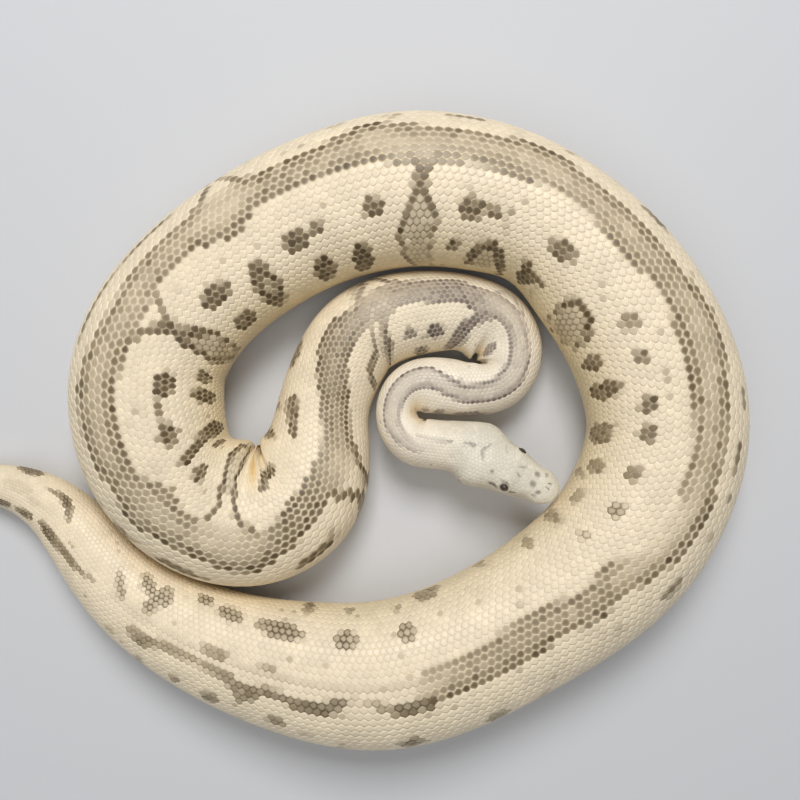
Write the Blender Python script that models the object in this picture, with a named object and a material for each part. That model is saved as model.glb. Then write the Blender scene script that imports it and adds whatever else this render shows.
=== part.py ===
"""A ball python lying in a loose coil, life size, as one still model.

Blender 4.5, metres, +Z up. The snake lies on the plane Z = 0 with its belly
pressed flat. Its tail points to -X and the middle of its outline is over the
origin. The neck, the lengths of the trunk and the tail are closed solids of
their own, parted from each other by thin cuts across the body. All sizes here
are in millimetres, and the meshes are made in metres.
"""
import math

import bmesh
import bpy
import numpy as np
from mathutils import Matrix, Vector

MM = 0.001

# ------------------------------------------------------------ the body's sizes

# The middle line of the body seen from above, from the nape to the tip of the
# tail, and the half width there: x, y, half width. A smooth spline follows it.
ROUTE = (
    (62, -7.6, 12.0), (54, -6.6, 12.0), (46, -5.8, 12.3), (38.4, 3, 11.0), (39.8, 15.5, 11.2),
    (49, 22.4, 12.8), (64, 20, 13.5), (80, 18.5, 14.2), (92.5, 26, 14.7), (94, 42, 15.2),
    (85.8, 53, 16.1), (70, 55.8, 18.5), (54, 55.5, 20.0), (36, 53, 21.2), (18.8, 44.6, 22.0),
    (8.8, 26, 22.0), (2.8, 8, 21.8), (2, -12, 25.6), (-3.2, -34, 28.4), (-27, -48, 28.6),
    (-53.3, -40.8, 30.1), (-70.2, -20.2, 33.7), (-77.5, 6, 35.8), (-76.5, 35, 35.2), (-57, 64, 34.2),
    (-26, 87.5, 34.3), (4.5, 102.5, 34.5), (41, 112.5, 36.2), (79, 109, 34.8), (108, 96.5, 34.0),
    (135.5, 71.5, 35.6), (156, 38.5, 36.9), (165, 5, 36.9), (159.5, -22.5, 36.6), (145.5, -50.5, 36.4),
    (121.5, -73, 35.0), (93, -91.5, 33.6), (63, -107, 34.0), (30, -115.5, 34.3), (-2, -112.5, 31.8),
    (-33.5, -106, 27.6), (-63, -94, 24.2), (-89, -78, 20.8), (-108, -55, 18.2),
    (-122.5, -39.5, 14.8), (-138, -30.5, 12.2), (-154, -26.5, 10.0), (-176, -25, 6.6),
    (-199, -24, 1.2),
)
SPLINE_STEPS = 24

NECK_LENGTH = 140.0         # from the nape to the first length of the trunk
VENT = 1034.0               # where the tail starts, from the nape
WIDEST_LEVEL = 0.46         # of the body's full height
NECK_HEIGHT = 0.90          # full height, of the full width
TRUNK_HEIGHT = 0.80
TAIL_HEIGHT = 0.86
BACK_POWER = 2.1            # of the back's outline: 2 is an ellipse, more is squarer
BELLY_POWER = 2.3
BELLY_PRESS = 1.2           # how far the floor flattens the belly
BEND_LIMIT = 0.88           # reach of the inner side, of the bend's own radius
BEND_SHARPNESS = 8.0
# How high the neck is held over the floor: distance from the nape, height.
LIFT = ((0, 13.6), (15, 12.5), (40, 10.0), (65, 6.5), (85, 3.0), (110, 0.6), (135, 0.0))
# Rolls of flesh in the tight bend, and the hollow that the neck presses in the
# trunk: distance, spread, height, and the side, 1 for left and -1 for right.
ROLLS = ((246.0, 8.0, 2.0, -1), (616.0, 20.0, -3.2, -1))
# Folds of skin that bulge out of the two tightest bends: x, y, how far the skin
# is pushed along x and y, and how far round that place.
FOLDS = (
    (-32.4, -16.4, -0.6, 11.2, 10.3), (-33.0, -18.0, 4.5, 0.0, 6.0), (79.0, 37.2, -2.6, -2.8, 7.6),
    (75.0, 37.0, 0.0, -3.3, 5.0), (75.5, 30.0, 0.0, 2.5, 5.0), (49.5, 11.0, -2.0, -2.5, 4.5),
    (58.0, 13.0, 0.0, -3.0, 5.5), (69.0, 12.5, 0.0, -2.5, 5.5),
)

SIDES = 24
STATION_STEP = 11.0
SHORTEST_STEP = 5.0         # between stations, in the tightest bends
STEP_OF_RADIUS = 0.3        # the same, of the bend's radius
CUT = 0.5                   # the width of each cut across the body
CUTS = (0.0, 58.0, 138.0, 212.0, 342.0, 458.0, 578.0, 700.0, 820.0, 932.0, VENT)
LENGTH_NAMES = (
    "neck_front", "neck_rear", "trunk_1", "trunk_2", "trunk_3", "trunk_4",
    "trunk_5", "trunk_6", "trunk_7", "trunk_8", "tail",
)

# ------------------------------------------------------------ the head's sizes

HEAD_ROOT = Vector((75.1, -11.2, 26.5))     # the middle of the head at the jaw's corners
HEAD_HEADING = math.radians(-26.7)
HEAD_PITCH = math.radians(8.0)
HEAD_ROLL = math.radians(16.0)              # the right side is turned up
NAPE = -14.0                                # the head's rear end, from its root
# Outline of the head: place from the root, half width, height of the crown and
# depth of the throat from the widest level.
HEAD_SHAPE = (
    (NAPE, 12.0, 12.3, 9.8), (-9.0, 12.8, 11.6, 10.0), (-4.0, 14.5, 11.0, 10.2),
    (0.0, 15.4, 10.6, 10.2), (4.0, 15.0, 10.4, 9.8), (9.0, 13.3, 10.0, 9.2),
    (14.0, 11.9, 9.5, 8.6), (19.0, 11.2, 8.6, 8.0), (25.0, 10.3, 7.1, 7.3),
    (31.0, 9.0, 5.6, 6.6), (36.0, 7.4, 4.3, 5.7), (39.4, 5.3, 3.0, 4.4),
    (41.0, 3.2, 1.8, 2.7), (41.6, 0.8, 0.5, 0.7),
)
HEAD_STATIONS = 23
HEAD_POWER = 2.3
HEAD_SIDES = 28
# The closed mouth from its corner to the snout: place from the root, level.
MOUTH_LINE = ((6.0, -2.6), (12.0, -3.6), (20.0, -3.8), (28.0, -3.0), (35.0, -1.8), (46.0, -1.2))
MOUTH_CUT = 0.4

EYE_PLACE = (18.2, 8.4, 4.1)                # from the root: forward, outward, up
EYE_RADIUS = 2.9
SOCKET_GAP = 0.3
NOSTRIL_PLACE = (33.6, 4.6, 4.3)
NOSTRIL_RADIUS = 0.7

SPUR_LENGTH = 4.0
SPUR_RADIUS = 1.0
SPUR_CLEARANCE = 2.0


# ---------------------------------------------------------------- shape helpers

def spline_table(rows):
    """Points of the uniform cubic B-spline whose control points are the rows."""
    rows = np.array(rows, dtype=float)
    control = np.vstack((2 * rows[:1] - rows[1:2], rows, 2 * rows[-1:] - rows[-2:-1]))
    points = []
    for index in range(len(rows) - 1):
        before, start, end, after = control[index:index + 4]
        for step in range(SPLINE_STEPS):
            t = step / SPLINE_STEPS
            points.append(((1 - t) ** 3 * before
                           + (3 * t ** 3 - 6 * t ** 2 + 4) * start
                           + (-3 * t ** 3 + 3 * t ** 2 + 3 * t + 1) * end
                           + t ** 3 * after) / 6)
    points.append(rows[-1])
    return np.array(points)


def smooth_curve(places, values, place):
    """Value at a place on the smooth curve through the given values."""
    places = np.array(places, dtype=float)
    values = np.array(values, dtype=float)
    slopes = np.gradient(values, places)
    index = int(np.clip(np.searchsorted(places, place) - 1, 0, len(places) - 2))
    gap = places[index + 1] - places[index]
    t = (place - places[index]) / gap
    return float((2 * t ** 3 - 3 * t ** 2 + 1) * values[index]
                 + (t ** 3 - 2 * t ** 2 + t) * gap * slopes[index]
                 + (3 * t ** 2 - 2 * t ** 3) * values[index + 1]
                 + (t ** 3 - t ** 2) * gap * slopes[index + 1])


def rounded(turn, power, width, reach):
    """One point of a superellipse: out to the side and up."""
    across, rise = math.sin(turn), math.cos(turn)
    out = math.copysign(abs(across) ** (2 / power), across) * width
    high = math.copysign(abs(rise) ** (2 / power), rise) * reach
    return out, high


def folded(point):
    """A point of the body, moved where a fold bulges out of a tight bend."""
    moved = point.copy()
    for x, y, push_x, push_y, spread in FOLDS:
        share = math.exp(-((point.x - x) ** 2 + (point.y - y) ** 2) / spread ** 2)
        moved += Vector((push_x, push_y, 0.0)) * share
    return moved


class Body:
    """The tube of the neck, trunk and tail, by distance from the nape."""

    def __init__(self):
        self.table = spline_table(ROUTE)
        gaps = np.hypot(*np.diff(self.table[:, :2], axis=0).T)
        self.along = np.concatenate(((0.0,), np.cumsum(gaps)))
        self.length = float(self.along[-1])
        slope = np.gradient(self.table[:, :2], self.along, axis=0)
        self.heading = np.unwrap(np.arctan2(slope[:, 1], slope[:, 0]))
        self.bend = np.gradient(self.heading, self.along)

    def value(self, column, distance):
        """One column of values along the route, at a distance."""
        return float(np.interp(distance, self.along, column))

    def half_width(self, distance):
        """Half the body's width."""
        return self.value(self.table[:, 2], distance)

    def height(self, distance):
        """The body's full height: the neck and tail are rounder than the trunk."""
        places = (NECK_LENGTH, NECK_LENGTH + 100, VENT - 100, VENT + 60)
        shares = (NECK_HEIGHT, TRUNK_HEIGHT, TRUNK_HEIGHT, TAIL_HEIGHT)
        return 2 * self.half_width(distance) * float(np.interp(distance, places, shares))

    def stations(self, start, end):
        """Places from the start to the end, both included, closer together in the bends."""
        fine = np.linspace(start, end, 200)
        bends = np.abs([self.value(self.bend, place) for place in fine])
        steps = np.clip(STEP_OF_RADIUS / np.maximum(bends, 1e-6), SHORTEST_STEP, STATION_STEP)
        counted = np.concatenate(((0.0,), np.cumsum(np.diff(fine) / steps[1:])))
        count = max(1, round(counted[-1]))
        return np.interp(np.linspace(0, counted[-1], count + 1), counted, fine)

    def centre(self, distance):
        """The middle of the section, at its widest level."""
        lift = np.interp(distance, *zip(*LIFT))
        return Vector((self.value(self.table[:, 0], distance),
                       self.value(self.table[:, 1], distance),
                       WIDEST_LEVEL * self.height(distance) + float(lift)))

    def frame(self, distance):
        """Unit vectors along the body, to its left and upward."""
        rise = 0.0
        if distance < NECK_LENGTH:
            ahead = self.centre(distance + 3.0)
            behind = self.centre(max(distance - 3.0, 0.0))
            rise = (ahead.z - behind.z) / (ahead - behind).length
        heading = self.value(self.heading, distance)
        forward = Vector((math.cos(heading), math.sin(heading), rise)).normalized()
        left = Vector((-math.sin(heading), math.cos(heading), 0.0))
        return forward, left, forward.cross(left)

    def reach(self, distance, side):
        """Reach of the body to its left (1) or right (-1); a tight bend squeezes its inner side."""
        half = self.half_width(distance)
        for place, spread, height, roll_side in ROLLS:
            if side == roll_side:
                half += height * math.exp(-((distance - place) / spread) ** 2)
        bend = max(side * self.value(self.bend, distance), 1e-6)
        squeeze = (half * bend / BEND_LIMIT) ** BEND_SHARPNESS
        return half / (1 + squeeze) ** (1 / BEND_SHARPNESS)

    def section(self, distance):
        """The points round the body at one distance."""
        reaches = {side: self.reach(distance, side) for side in (-1, 1)}
        up_reach = (1 - WIDEST_LEVEL) * self.height(distance)
        press = min(BELLY_PRESS, 0.05 * self.half_width(distance))
        down_reach = WIDEST_LEVEL * self.height(distance) + press
        centre = self.centre(distance)
        left, up = self.frame(distance)[1:]
        points = []
        for side in range(SIDES):
            turn = 2 * math.pi * side / SIDES
            width = reaches[1 if math.sin(turn) > 0 else -1]
            if math.cos(turn) >= 0:
                out, high = rounded(turn, BACK_POWER, width, up_reach)
            else:
                out, high = rounded(turn, BELLY_POWER, width, down_reach)
            point = folded(centre + left * out + up * high)
            point.z = max(point.z, 0.0)
            points.append(point)
        return points


class Head:
    """The head, by place forward of its root, joined smoothly to the body's nape."""

    def __init__(self, body):
        backward, left, up = body.frame(0.0)
        self.nape = body.centre(0.0)
        self.nape_axes = (-backward, -left, up)
        across = Matrix.Rotation(HEAD_HEADING, 3, "Z") @ Matrix.Rotation(-HEAD_PITCH, 3, "Y")
        turned = across @ Matrix.Rotation(-HEAD_ROLL, 3, "X")
        self.axes = tuple(turned.col[index].copy() for index in range(3))

    def frame(self, place):
        """The middle of the head at one place, and the unit vectors forward, left and up."""
        if place >= 0:
            return (HEAD_ROOT + self.axes[0] * place,) + self.axes
        share = 1 - place / NAPE
        bend = self.nape + self.nape_axes[0] * (-NAPE / 2)
        middle = ((1 - share) ** 2 * self.nape + 2 * share * (1 - share) * bend
                  + share ** 2 * HEAD_ROOT)
        ease = share * share * (3 - 2 * share)
        forward = (self.nape_axes[0] * (1 - ease) + self.axes[0] * ease).normalized()
        up = self.nape_axes[2] * (1 - ease) + self.axes[2] * ease
        left = up.cross(forward).normalized()
        return middle, forward, left, forward.cross(left)

    def point(self, forward, outward, up):
        """A point given in the head's own directions; outward is to the left."""
        return HEAD_ROOT + self.axes[0] * forward + self.axes[1] * outward + self.axes[2] * up

    def section(self, place):
        """The points round the head at one place."""
        places, widths, crowns, throats = zip(*HEAD_SHAPE)
        half = smooth_curve(places, widths, place)
        crown = smooth_curve(places, crowns, place)
        throat = smooth_curve(places, throats, place)
        middle, _, left, up = self.frame(place)
        points = []
        for side in range(HEAD_SIDES):
            turn = 2 * math.pi * side / HEAD_SIDES
            reach = crown if math.cos(turn) >= 0 else throat
            out, high = rounded(turn, HEAD_POWER, half, reach)
            points.append(middle + left * out + up * high)
        return points


# ---------------------------------------------------------------- mesh helpers

def make_material(name, colour, roughness):
    """A plain material of one colour."""
    material = bpy.data.materials.new(name)
    material.use_nodes = True
    shader = material.node_tree.nodes["Principled BSDF"]
    shader.inputs["Base Color"].default_value = (*colour, 1.0)
    shader.inputs["Roughness"].default_value = roughness
    shader.inputs["Metallic"].default_value = 0.0
    return material


def add_object(name, mesh_maker, material):
    """A named object whose bmesh is filled by the maker, with its faces turned outward."""
    mesh = bpy.data.meshes.new(name)
    shape = bmesh.new()
    mesh_maker(shape)
    bmesh.ops.recalc_face_normals(shape, faces=shape.faces)
    bmesh.ops.scale(shape, vec=(MM, MM, MM), verts=shape.verts)
    shape.to_mesh(mesh)
    shape.free()
    mesh.materials.append(material)
    mesh.shade_smooth()
    mesh.set_sharp_from_angle(angle=math.radians(50))
    thing = bpy.data.objects.new(name, mesh)
    bpy.context.scene.collection.objects.link(thing)
    return thing


def loft(shape, rings):
    """A closed skin over rings of points, with a flat face on each end."""
    loops = [[shape.verts.new(point) for point in ring] for ring in rings]
    count = len(rings[0])
    for first, second in zip(loops, loops[1:]):
        for side in range(count):
            after = (side + 1) % count
            shape.faces.new((first[side], first[after], second[after], second[side]))
    shape.faces.new(loops[0])
    shape.faces.new(loops[-1])


def cut_with(thing, cutter, operation):
    """Cut a thing with another and delete the cutter."""
    modifier = thing.modifiers.new("cut", "BOOLEAN")
    modifier.operation = operation
    modifier.solver = "EXACT"
    modifier.object = cutter
    evaluated = thing.evaluated_get(bpy.context.evaluated_depsgraph_get())
    mesh = bpy.data.meshes.new_from_object(evaluated)
    thing.modifiers.remove(modifier)
    thing.data = mesh
    bpy.data.objects.remove(cutter)


# ---------------------------------------------------------------- the sub-parts

def make_lengths(body, skin):
    """The neck, the lengths of the trunk and the tail."""
    ends = CUTS[1:] + (body.length,)
    for name, start, end in zip(LENGTH_NAMES, CUTS, ends):
        first = start + CUT / 2
        last = end if end == body.length else end - CUT / 2
        rings = [body.section(place) for place in body.stations(first, last)]
        add_object(name, lambda shape: loft(shape, rings), skin)


def head_solid(head, name, skin):
    """The whole head with a closed mouth."""
    snout = HEAD_SHAPE[-1][0]
    turns = np.linspace(0, math.pi / 2, HEAD_STATIONS)
    rings = [head.section(NAPE + (snout - NAPE) * math.sin(turn)) for turn in turns[:-1]]
    return add_object(name, lambda shape: loft(shape, rings), skin)


def jaw_block(head, gap, skin):
    """The block below the mouth line that parts the lower jaw from the head."""
    side_reach = 30.0
    corner = MOUTH_LINE[0][0] + gap
    outline = [(max(place, corner), level - gap) for place, level in MOUTH_LINE]
    outline += [(MOUTH_LINE[-1][0], -side_reach), (corner, -side_reach)]

    def fill(shape):
        rings = [[head.point(place, side, level) for place, level in outline]
                 for side in (-side_reach, side_reach)]
        loft(shape, rings)

    return add_object("jaw_block", fill, skin)


def ball(head, place, radius, name, material, segments=16):
    """A ball at a place in the head's own directions."""
    middle = head.point(*place)

    def fill(shape):
        turn = Matrix((head.axes[0], head.axes[2], -head.axes[1])).transposed().to_4x4()
        bmesh.ops.create_uvsphere(shape, u_segments=segments, v_segments=segments // 2,
                                  radius=radius, matrix=Matrix.Translation(middle) @ turn)

    return add_object(name, fill, material)


def make_head(body, skin, eye_black):
    """The head with its eyes in their sockets, and the lower jaw."""
    head = Head(body)
    upper = head_solid(head, "head", skin)
    lower = head_solid(head, "lower_jaw", skin)
    cut_with(upper, jaw_block(head, 0.0, skin), "DIFFERENCE")
    cut_with(lower, jaw_block(head, MOUTH_CUT, skin), "INTERSECT")
    for name, side in (("eye_left", 1), ("eye_right", -1)):
        forward, outward, up = EYE_PLACE
        place = (forward, side * outward, up)
        ball(head, place, EYE_RADIUS, name, eye_black)
        cut_with(upper, ball(head, place, EYE_RADIUS + SOCKET_GAP, "socket", skin), "DIFFERENCE")
        forward, outward, up = NOSTRIL_PLACE
        place = (forward, side * outward, up)
        cut_with(upper, ball(head, place, NOSTRIL_RADIUS, "nostril", skin, 12), "DIFFERENCE")
    for thing in (upper, lower):
        thing.data.shade_smooth()
        thing.data.set_sharp_from_angle(angle=math.radians(50))


def make_spurs(body, horn):
    """The two small claws beside the vent."""
    forward, left, up = body.frame(VENT)
    for name, side in (("spur_left", -1), ("spur_right", 1)):
        level = SPUR_RADIUS + 0.5
        waist = WIDEST_LEVEL * body.height(VENT)
        depth = (waist - level - SPUR_RADIUS) / waist
        reach = body.half_width(VENT) * (1 - depth ** BELLY_POWER) ** (1 / BELLY_POWER)
        root = body.centre(VENT) + left * side * (reach + SPUR_CLEARANCE)
        root.z = level
        direction = (forward + left * side * 0.25).normalized()
        middle = root + direction * SPUR_LENGTH / 2
        turn = direction.to_track_quat("Z", "Y").to_matrix().to_4x4()

        def fill(shape):
            bmesh.ops.create_cone(shape, cap_ends=True, segments=12, radius1=SPUR_RADIUS,
                                  radius2=SPUR_RADIUS * 0.25, depth=SPUR_LENGTH,
                                  matrix=Matrix.Translation(middle) @ turn)

        add_object(name, fill, horn)


def main():
    """Clear the scene and make the snake."""
    for thing in list(bpy.data.objects):
        bpy.data.objects.remove(thing)
    skin = make_material("scaled_skin", (0.78, 0.66, 0.47), 0.45)
    eye_black = make_material("eye", (0.02, 0.018, 0.015), 0.08)
    horn = make_material("spur_horn", (0.62, 0.52, 0.38), 0.4)
    body = Body()
    make_lengths(body, skin)
    make_head(body, skin, eye_black)
    make_spurs(body, horn)


main()
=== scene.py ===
"""A cream ball python lying in a loose coil, as a still, life-size museum model.

Blender 4.5. Sizes are in millimetres, in the CAD model's own frame, and each
mesh is made in metres. A place on the snake is given by its distance from the
nape, towards the tail (the head's are negative), and its offset round the body
from the middle line of the back. Offsets are positive on the snake's right,
which is the outer side of the big coil.
"""
import functools
import itertools
import math

import bpy
import numpy as np
from mathutils import Matrix, Vector
from mathutils.bvhtree import BVHTree


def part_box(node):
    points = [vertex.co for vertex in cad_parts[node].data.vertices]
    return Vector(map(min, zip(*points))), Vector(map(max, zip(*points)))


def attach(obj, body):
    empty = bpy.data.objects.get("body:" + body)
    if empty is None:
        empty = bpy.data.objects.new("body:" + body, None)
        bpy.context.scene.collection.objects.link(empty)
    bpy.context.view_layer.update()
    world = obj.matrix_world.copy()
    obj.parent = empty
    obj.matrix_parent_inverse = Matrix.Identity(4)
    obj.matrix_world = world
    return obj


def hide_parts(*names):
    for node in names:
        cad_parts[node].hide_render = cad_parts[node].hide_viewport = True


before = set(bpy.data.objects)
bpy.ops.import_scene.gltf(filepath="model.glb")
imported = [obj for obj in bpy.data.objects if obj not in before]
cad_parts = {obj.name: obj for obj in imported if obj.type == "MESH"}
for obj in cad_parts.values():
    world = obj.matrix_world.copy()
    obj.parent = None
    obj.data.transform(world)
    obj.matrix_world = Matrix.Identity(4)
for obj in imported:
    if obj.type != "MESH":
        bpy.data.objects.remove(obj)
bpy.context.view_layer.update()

MM = 0.001

# ------------------------------------------------- the body, as the CAD has it

# The middle line seen from above, from the nape to the tail's tip: x, y, half width.
ROUTE = (
    (62, -7.6, 12), (54, -6.6, 12), (46, -5.8, 12.3), (38.4, 3, 11), (39.8, 15.5, 11.2), (49, 22.4, 12.8),
    (64, 20, 13.5), (80, 18.5, 14.2), (92.5, 26, 14.7), (94, 42, 15.2), (85.8, 53, 16.1), (70, 55.8, 18.5),
    (54, 55.5, 20), (36, 53, 21.2), (18.8, 44.6, 22), (8.8, 26, 22), (2.8, 8, 21.8), (2, -12, 25.6),
    (-3.2, -34, 28.4), (-27, -48, 28.6), (-53.3, -40.8, 30.1), (-70.2, -20.2, 33.7), (-77.5, 6, 35.8),
    (-76.5, 35, 35.2), (-57, 64, 34.2), (-26, 87.5, 34.3), (4.5, 102.5, 34.5), (41, 112.5, 36.2),
    (79, 109, 34.8), (108, 96.5, 34), (135.5, 71.5, 35.6), (156, 38.5, 36.9), (165, 5, 36.9),
    (159.5, -22.5, 36.6), (145.5, -50.5, 36.4), (121.5, -73, 35), (93, -91.5, 33.6), (63, -107, 34),
    (30, -115.5, 34.3), (-2, -112.5, 31.8), (-33.5, -106, 27.6), (-63, -94, 24.2), (-89, -78, 20.8),
    (-108, -55, 18.2), (-122.5, -39.5, 14.8), (-138, -30.5, 12.2), (-154, -26.5, 10), (-176, -25, 6.6),
    (-199, -24, 1.2),
)
SPLINE_STEPS = 24
NECK_LENGTH = 140.0
VENT = 1034.0
WIDEST_LEVEL = 0.46
NECK_HEIGHT = 0.90
TRUNK_HEIGHT = 0.80
TAIL_HEIGHT = 0.86
BACK_POWER = 2.1
BELLY_POWER = 2.3
BELLY_PRESS = 1.2
BEND_LIMIT = 0.88
BEND_SHARPNESS = 8.0
LIFT = ((0, 13.6), (15, 12.5), (40, 10), (65, 6.5), (85, 3), (110, 0.6), (135, 0))
ROLLS = ((246, 8, 2, -1), (616, 20, -3.2, -1))
FOLDS = (
    (-32.4, -16.4, -0.6, 11.2, 10.3), (-33, -18, 4.5, 0, 6), (79, 37.2, -2.6, -2.8, 7.6),
    (75, 37, 0, -3.3, 5), (75.5, 30, 0, 2.5, 5), (49.5, 11, -2, -2.5, 4.5), (58, 13, 0, -3, 5.5),
    (69, 12.5, 0, -2.5, 5.5),
)

HEAD_ROOT = np.array((75.1, -11.2, 26.5))
HEAD_HEADING = math.radians(-26.7)
HEAD_PITCH = math.radians(8.0)
HEAD_ROLL = math.radians(16.0)
NAPE = -14.0
HEAD_SHAPE = (
    (NAPE, 12.0, 11.7, 10.4), (-9.0, 12.8, 11.5, 10.1), (-4.0, 14.5, 11.0, 10.2),
    (0, 15.4, 10.6, 10.2), (4, 15, 10.4, 9.8), (9, 13.3, 10, 9.2),
    (14, 11.9, 9.5, 8.6), (19, 11.2, 8.6, 8), (25, 10.3, 7.1, 7.3),
    (31, 9, 5.6, 6.6), (36, 7.4, 4.3, 5.7), (39.4, 5.3, 3, 4.4),
    (41, 3.2, 1.8, 2.7), (41.6, 0.8, 0.5, 0.7),
)
HEAD_POWER = 2.3
MOUTH_LINE = ((6, -2.6), (12, -3.6), (20, -3.8), (28, -3), (35, -1.8), (46, -1.2))

# ------------------------------------------------------------- the skin's own sizes

# How far the dorsal line is rolled off the top, round the skin: distance, offset.
DORSAL_ROLL = (
    (0, 0), (50, 0), (90, -3), (140, -8), (180, -5), (220, 2), (260, 8), (320, 10), (380, 14), (450, 15),
    (520, 15), (600, 16), (690, 16), (740, 11), (790, 5), (850, 1), (950, 1), (1171, 0),
)
# The coat's depth, from the skin to the scales' tops: distance, depth.
COAT_DEPTH = ((-56, 0.35), (-14, 0.45), (20, 0.6), (70, 0.8), (1050, 0.8), (1171, 0.35))
COLUMNS = 128               # places round the body in the surface's grid
RING_POINTS = 257
HEAD_STATIONS = 130
STATION = 1.0
TIP_GAP = 0.4               # the last ring's distance from the tail's tip
SKIN_STEP = 2.0             # between the rings of the body's skin

# The head's relief: forward, outward and up from its root, spread, height. Each is on both sides.
HEAD_RELIEF = (
    (18.5, 7.4, 7.4, 3.4, 0.7),         # brow over the eye
    (27.5, 9.2, 1.2, 4.2, -0.9),        # hollow before the eye
    (27, 6, 6.4, 3.4, 0.45),            # ridge from the brow to the nostril
    (35, 6.6, -0.5, 3.6, 0.45),         # swollen front of the upper lip
    (3, 12.5, 6, 6.5, 0.8),             # muscle behind the eye
    (1, 0, 11, 5.5, -0.55),             # groove between those muscles
    (13, 0, 9.6, 3.5, -0.2),
    (22, 0, -8.5, 3, -0.4),             # groove under the chin
    (30, 0, -7.5, 3, -0.4),
    (33.6, 4.6, 4.6, 0.75, -0.9),       # nostril
    (33.6, 4.6, 4.6, 1.7, 0.3),
)
# Creases of the skin where the head turns on the neck: forward, outward, up, spread, height.
NAPE_CREASES = (
    (-8.5, -9.5, 7.5, 1.9, -0.45), (-6.5, -6.5, 9, 1.9, -0.5), (-4.5, -3.2, 9.8, 1.9, -0.5),
    (-2, 0.2, 10, 1.9, -0.4), (-9, -4, 9.5, 3.5, 0.35), (-1.5, -6, 9, 3.5, 0.3), (-12, 8.5, 8, 2.5, -0.3),
)
MOUTH_DEPTH = 0.5
MOUTH_SPREAD = 0.55
EYE_PLACE = (18.2, 8.4, 4.1)
EYE_RADIUS = 2.6
LID_RADIUS = 3.3            # of the raised rim round the eye, from the eye's middle
LID_RISE = 0.55
LID_SPREAD = 0.7

ROW_WIDTH = 3.25            # between rows of scales, at mid-body
ROW_GROWTH = 0.7            # how fast the rows widen with the girth
MID_GIRTH = 102.0           # half the girth at mid-body
SCALE_LENGTH = 1.13         # between scales in one row, of the row's width
MOST_ROWS = 34              # to each side of the dorsal line
LATTICE_STEP = 0.5          # between the places at which the lattice's girth is known
GIRTH_WINDOW = 41           # how many of them the girth is smoothed over
BELLY_SHARE = 0.14          # half the width of the belly's scutes, of half the girth
SCALE_RISE = 0.085          # a scale's height, of the row's width
SCALE_MOST = 0.85           # the same at most, of the coat's depth
CREASED_RISE = 0.35         # what is left of it where a bend leaves a scale no length
SCALE_RIM = ((0.66, 0), (0.50, 0.23), (0.23, 0.50), (-0.05, 0.62), (-0.33, 0.47), (-0.49, 0.19))
SCALE_RINGS = (1, 0.91, 0.60)
SCALE_PROFILE = (-0.25, 0.84, 1, 1)                 # height of each ring and the middle
SCALE_EDGES = (1, 0.80, 0.15, 0)                    # how far each takes the seam's colour
SIZE_SPREAD = 0.03          # how much the scales differ in size
TONE_SPREAD = 0.025         # the same in tone
CORE_SPREAD = 0.15          # the same in the markings, round this middle
CORE_MIDDLE = 1.08
SEAM_SPREAD = 0.25          # the same for the markings in the seams
SPECK_SHARE = 0.012         # of the scales, those that are a little dark by themselves
SPECK_TONE = 0.22
SCUTE_LENGTH = 5.05
SUBCAUDAL_LENGTH = 3.6

rng = np.random.default_rng(7)


# ---------------------------------------------------------------- shape helpers

def unit(vectors):
    """The vectors, each at length one."""
    return vectors / np.maximum(np.linalg.norm(vectors, axis=-1, keepdims=True), 1e-12)


def turns_round(count):
    """Angles evenly round a circle."""
    return np.linspace(0.0, 2 * math.pi, count, endpoint=False)


def looked_up(table, place):
    """A table's value at each place, between those of its rows."""
    return np.interp(place, *zip(*table))


def spline_table(rows):
    """Points of the uniform cubic B-spline whose control points are the rows."""
    rows = np.array(rows, dtype=float)
    control = np.vstack((2 * rows[:1] - rows[1:2], rows, 2 * rows[-1:] - rows[-2:-1]))
    points = []
    for index in range(len(rows) - 1):
        before, start, end, after = control[index:index + 4]
        for step in range(SPLINE_STEPS):
            t = step / SPLINE_STEPS
            points.append(((1 - t) ** 3 * before
                           + (3 * t ** 3 - 6 * t ** 2 + 4) * start
                           + (-3 * t ** 3 + 3 * t ** 2 + 3 * t + 1) * end
                           + t ** 3 * after) / 6)
    points.append(rows[-1])
    return np.array(points)


def smooth_curve(places, values, place):
    """Values at many places on the smooth curve through the given ones."""
    places = np.array(places, dtype=float)
    values = np.array(values, dtype=float)
    slopes = np.gradient(values, places)
    index = np.clip(np.searchsorted(places, place) - 1, 0, len(places) - 2)
    gap = places[index + 1] - places[index]
    t = (place - places[index]) / gap
    return ((2 * t ** 3 - 3 * t ** 2 + 1) * values[index]
            + (t ** 3 - 2 * t ** 2 + t) * gap * slopes[index]
            + (3 * t ** 2 - 2 * t ** 3) * values[index + 1]
            + (t ** 3 - t ** 2) * gap * slopes[index + 1])


def rounded(turns, power, width, reach):
    """Points of superellipses: out to the side and up."""
    across = np.sin(turns)
    rise = np.cos(turns)
    out = np.sign(across) * np.abs(across) ** (2 / power) * width
    high = np.sign(rise) * np.abs(rise) ** (2 / power) * reach
    return out, high


def ease(value):
    """A smooth step from 0 to 1."""
    value = np.clip(value, 0.0, 1.0)
    return value * value * (3 - 2 * value)


def folded(points):
    """Points of the body, moved where a fold bulges out of a tight bend."""
    moved = points.copy()
    for x, y, push_x, push_y, spread in FOLDS:
        share = np.exp(-((points[..., 0] - x) ** 2 + (points[..., 1] - y) ** 2) / spread ** 2)
        moved += share[..., None] * np.array((push_x, push_y, 0.0))
    return moved


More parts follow.
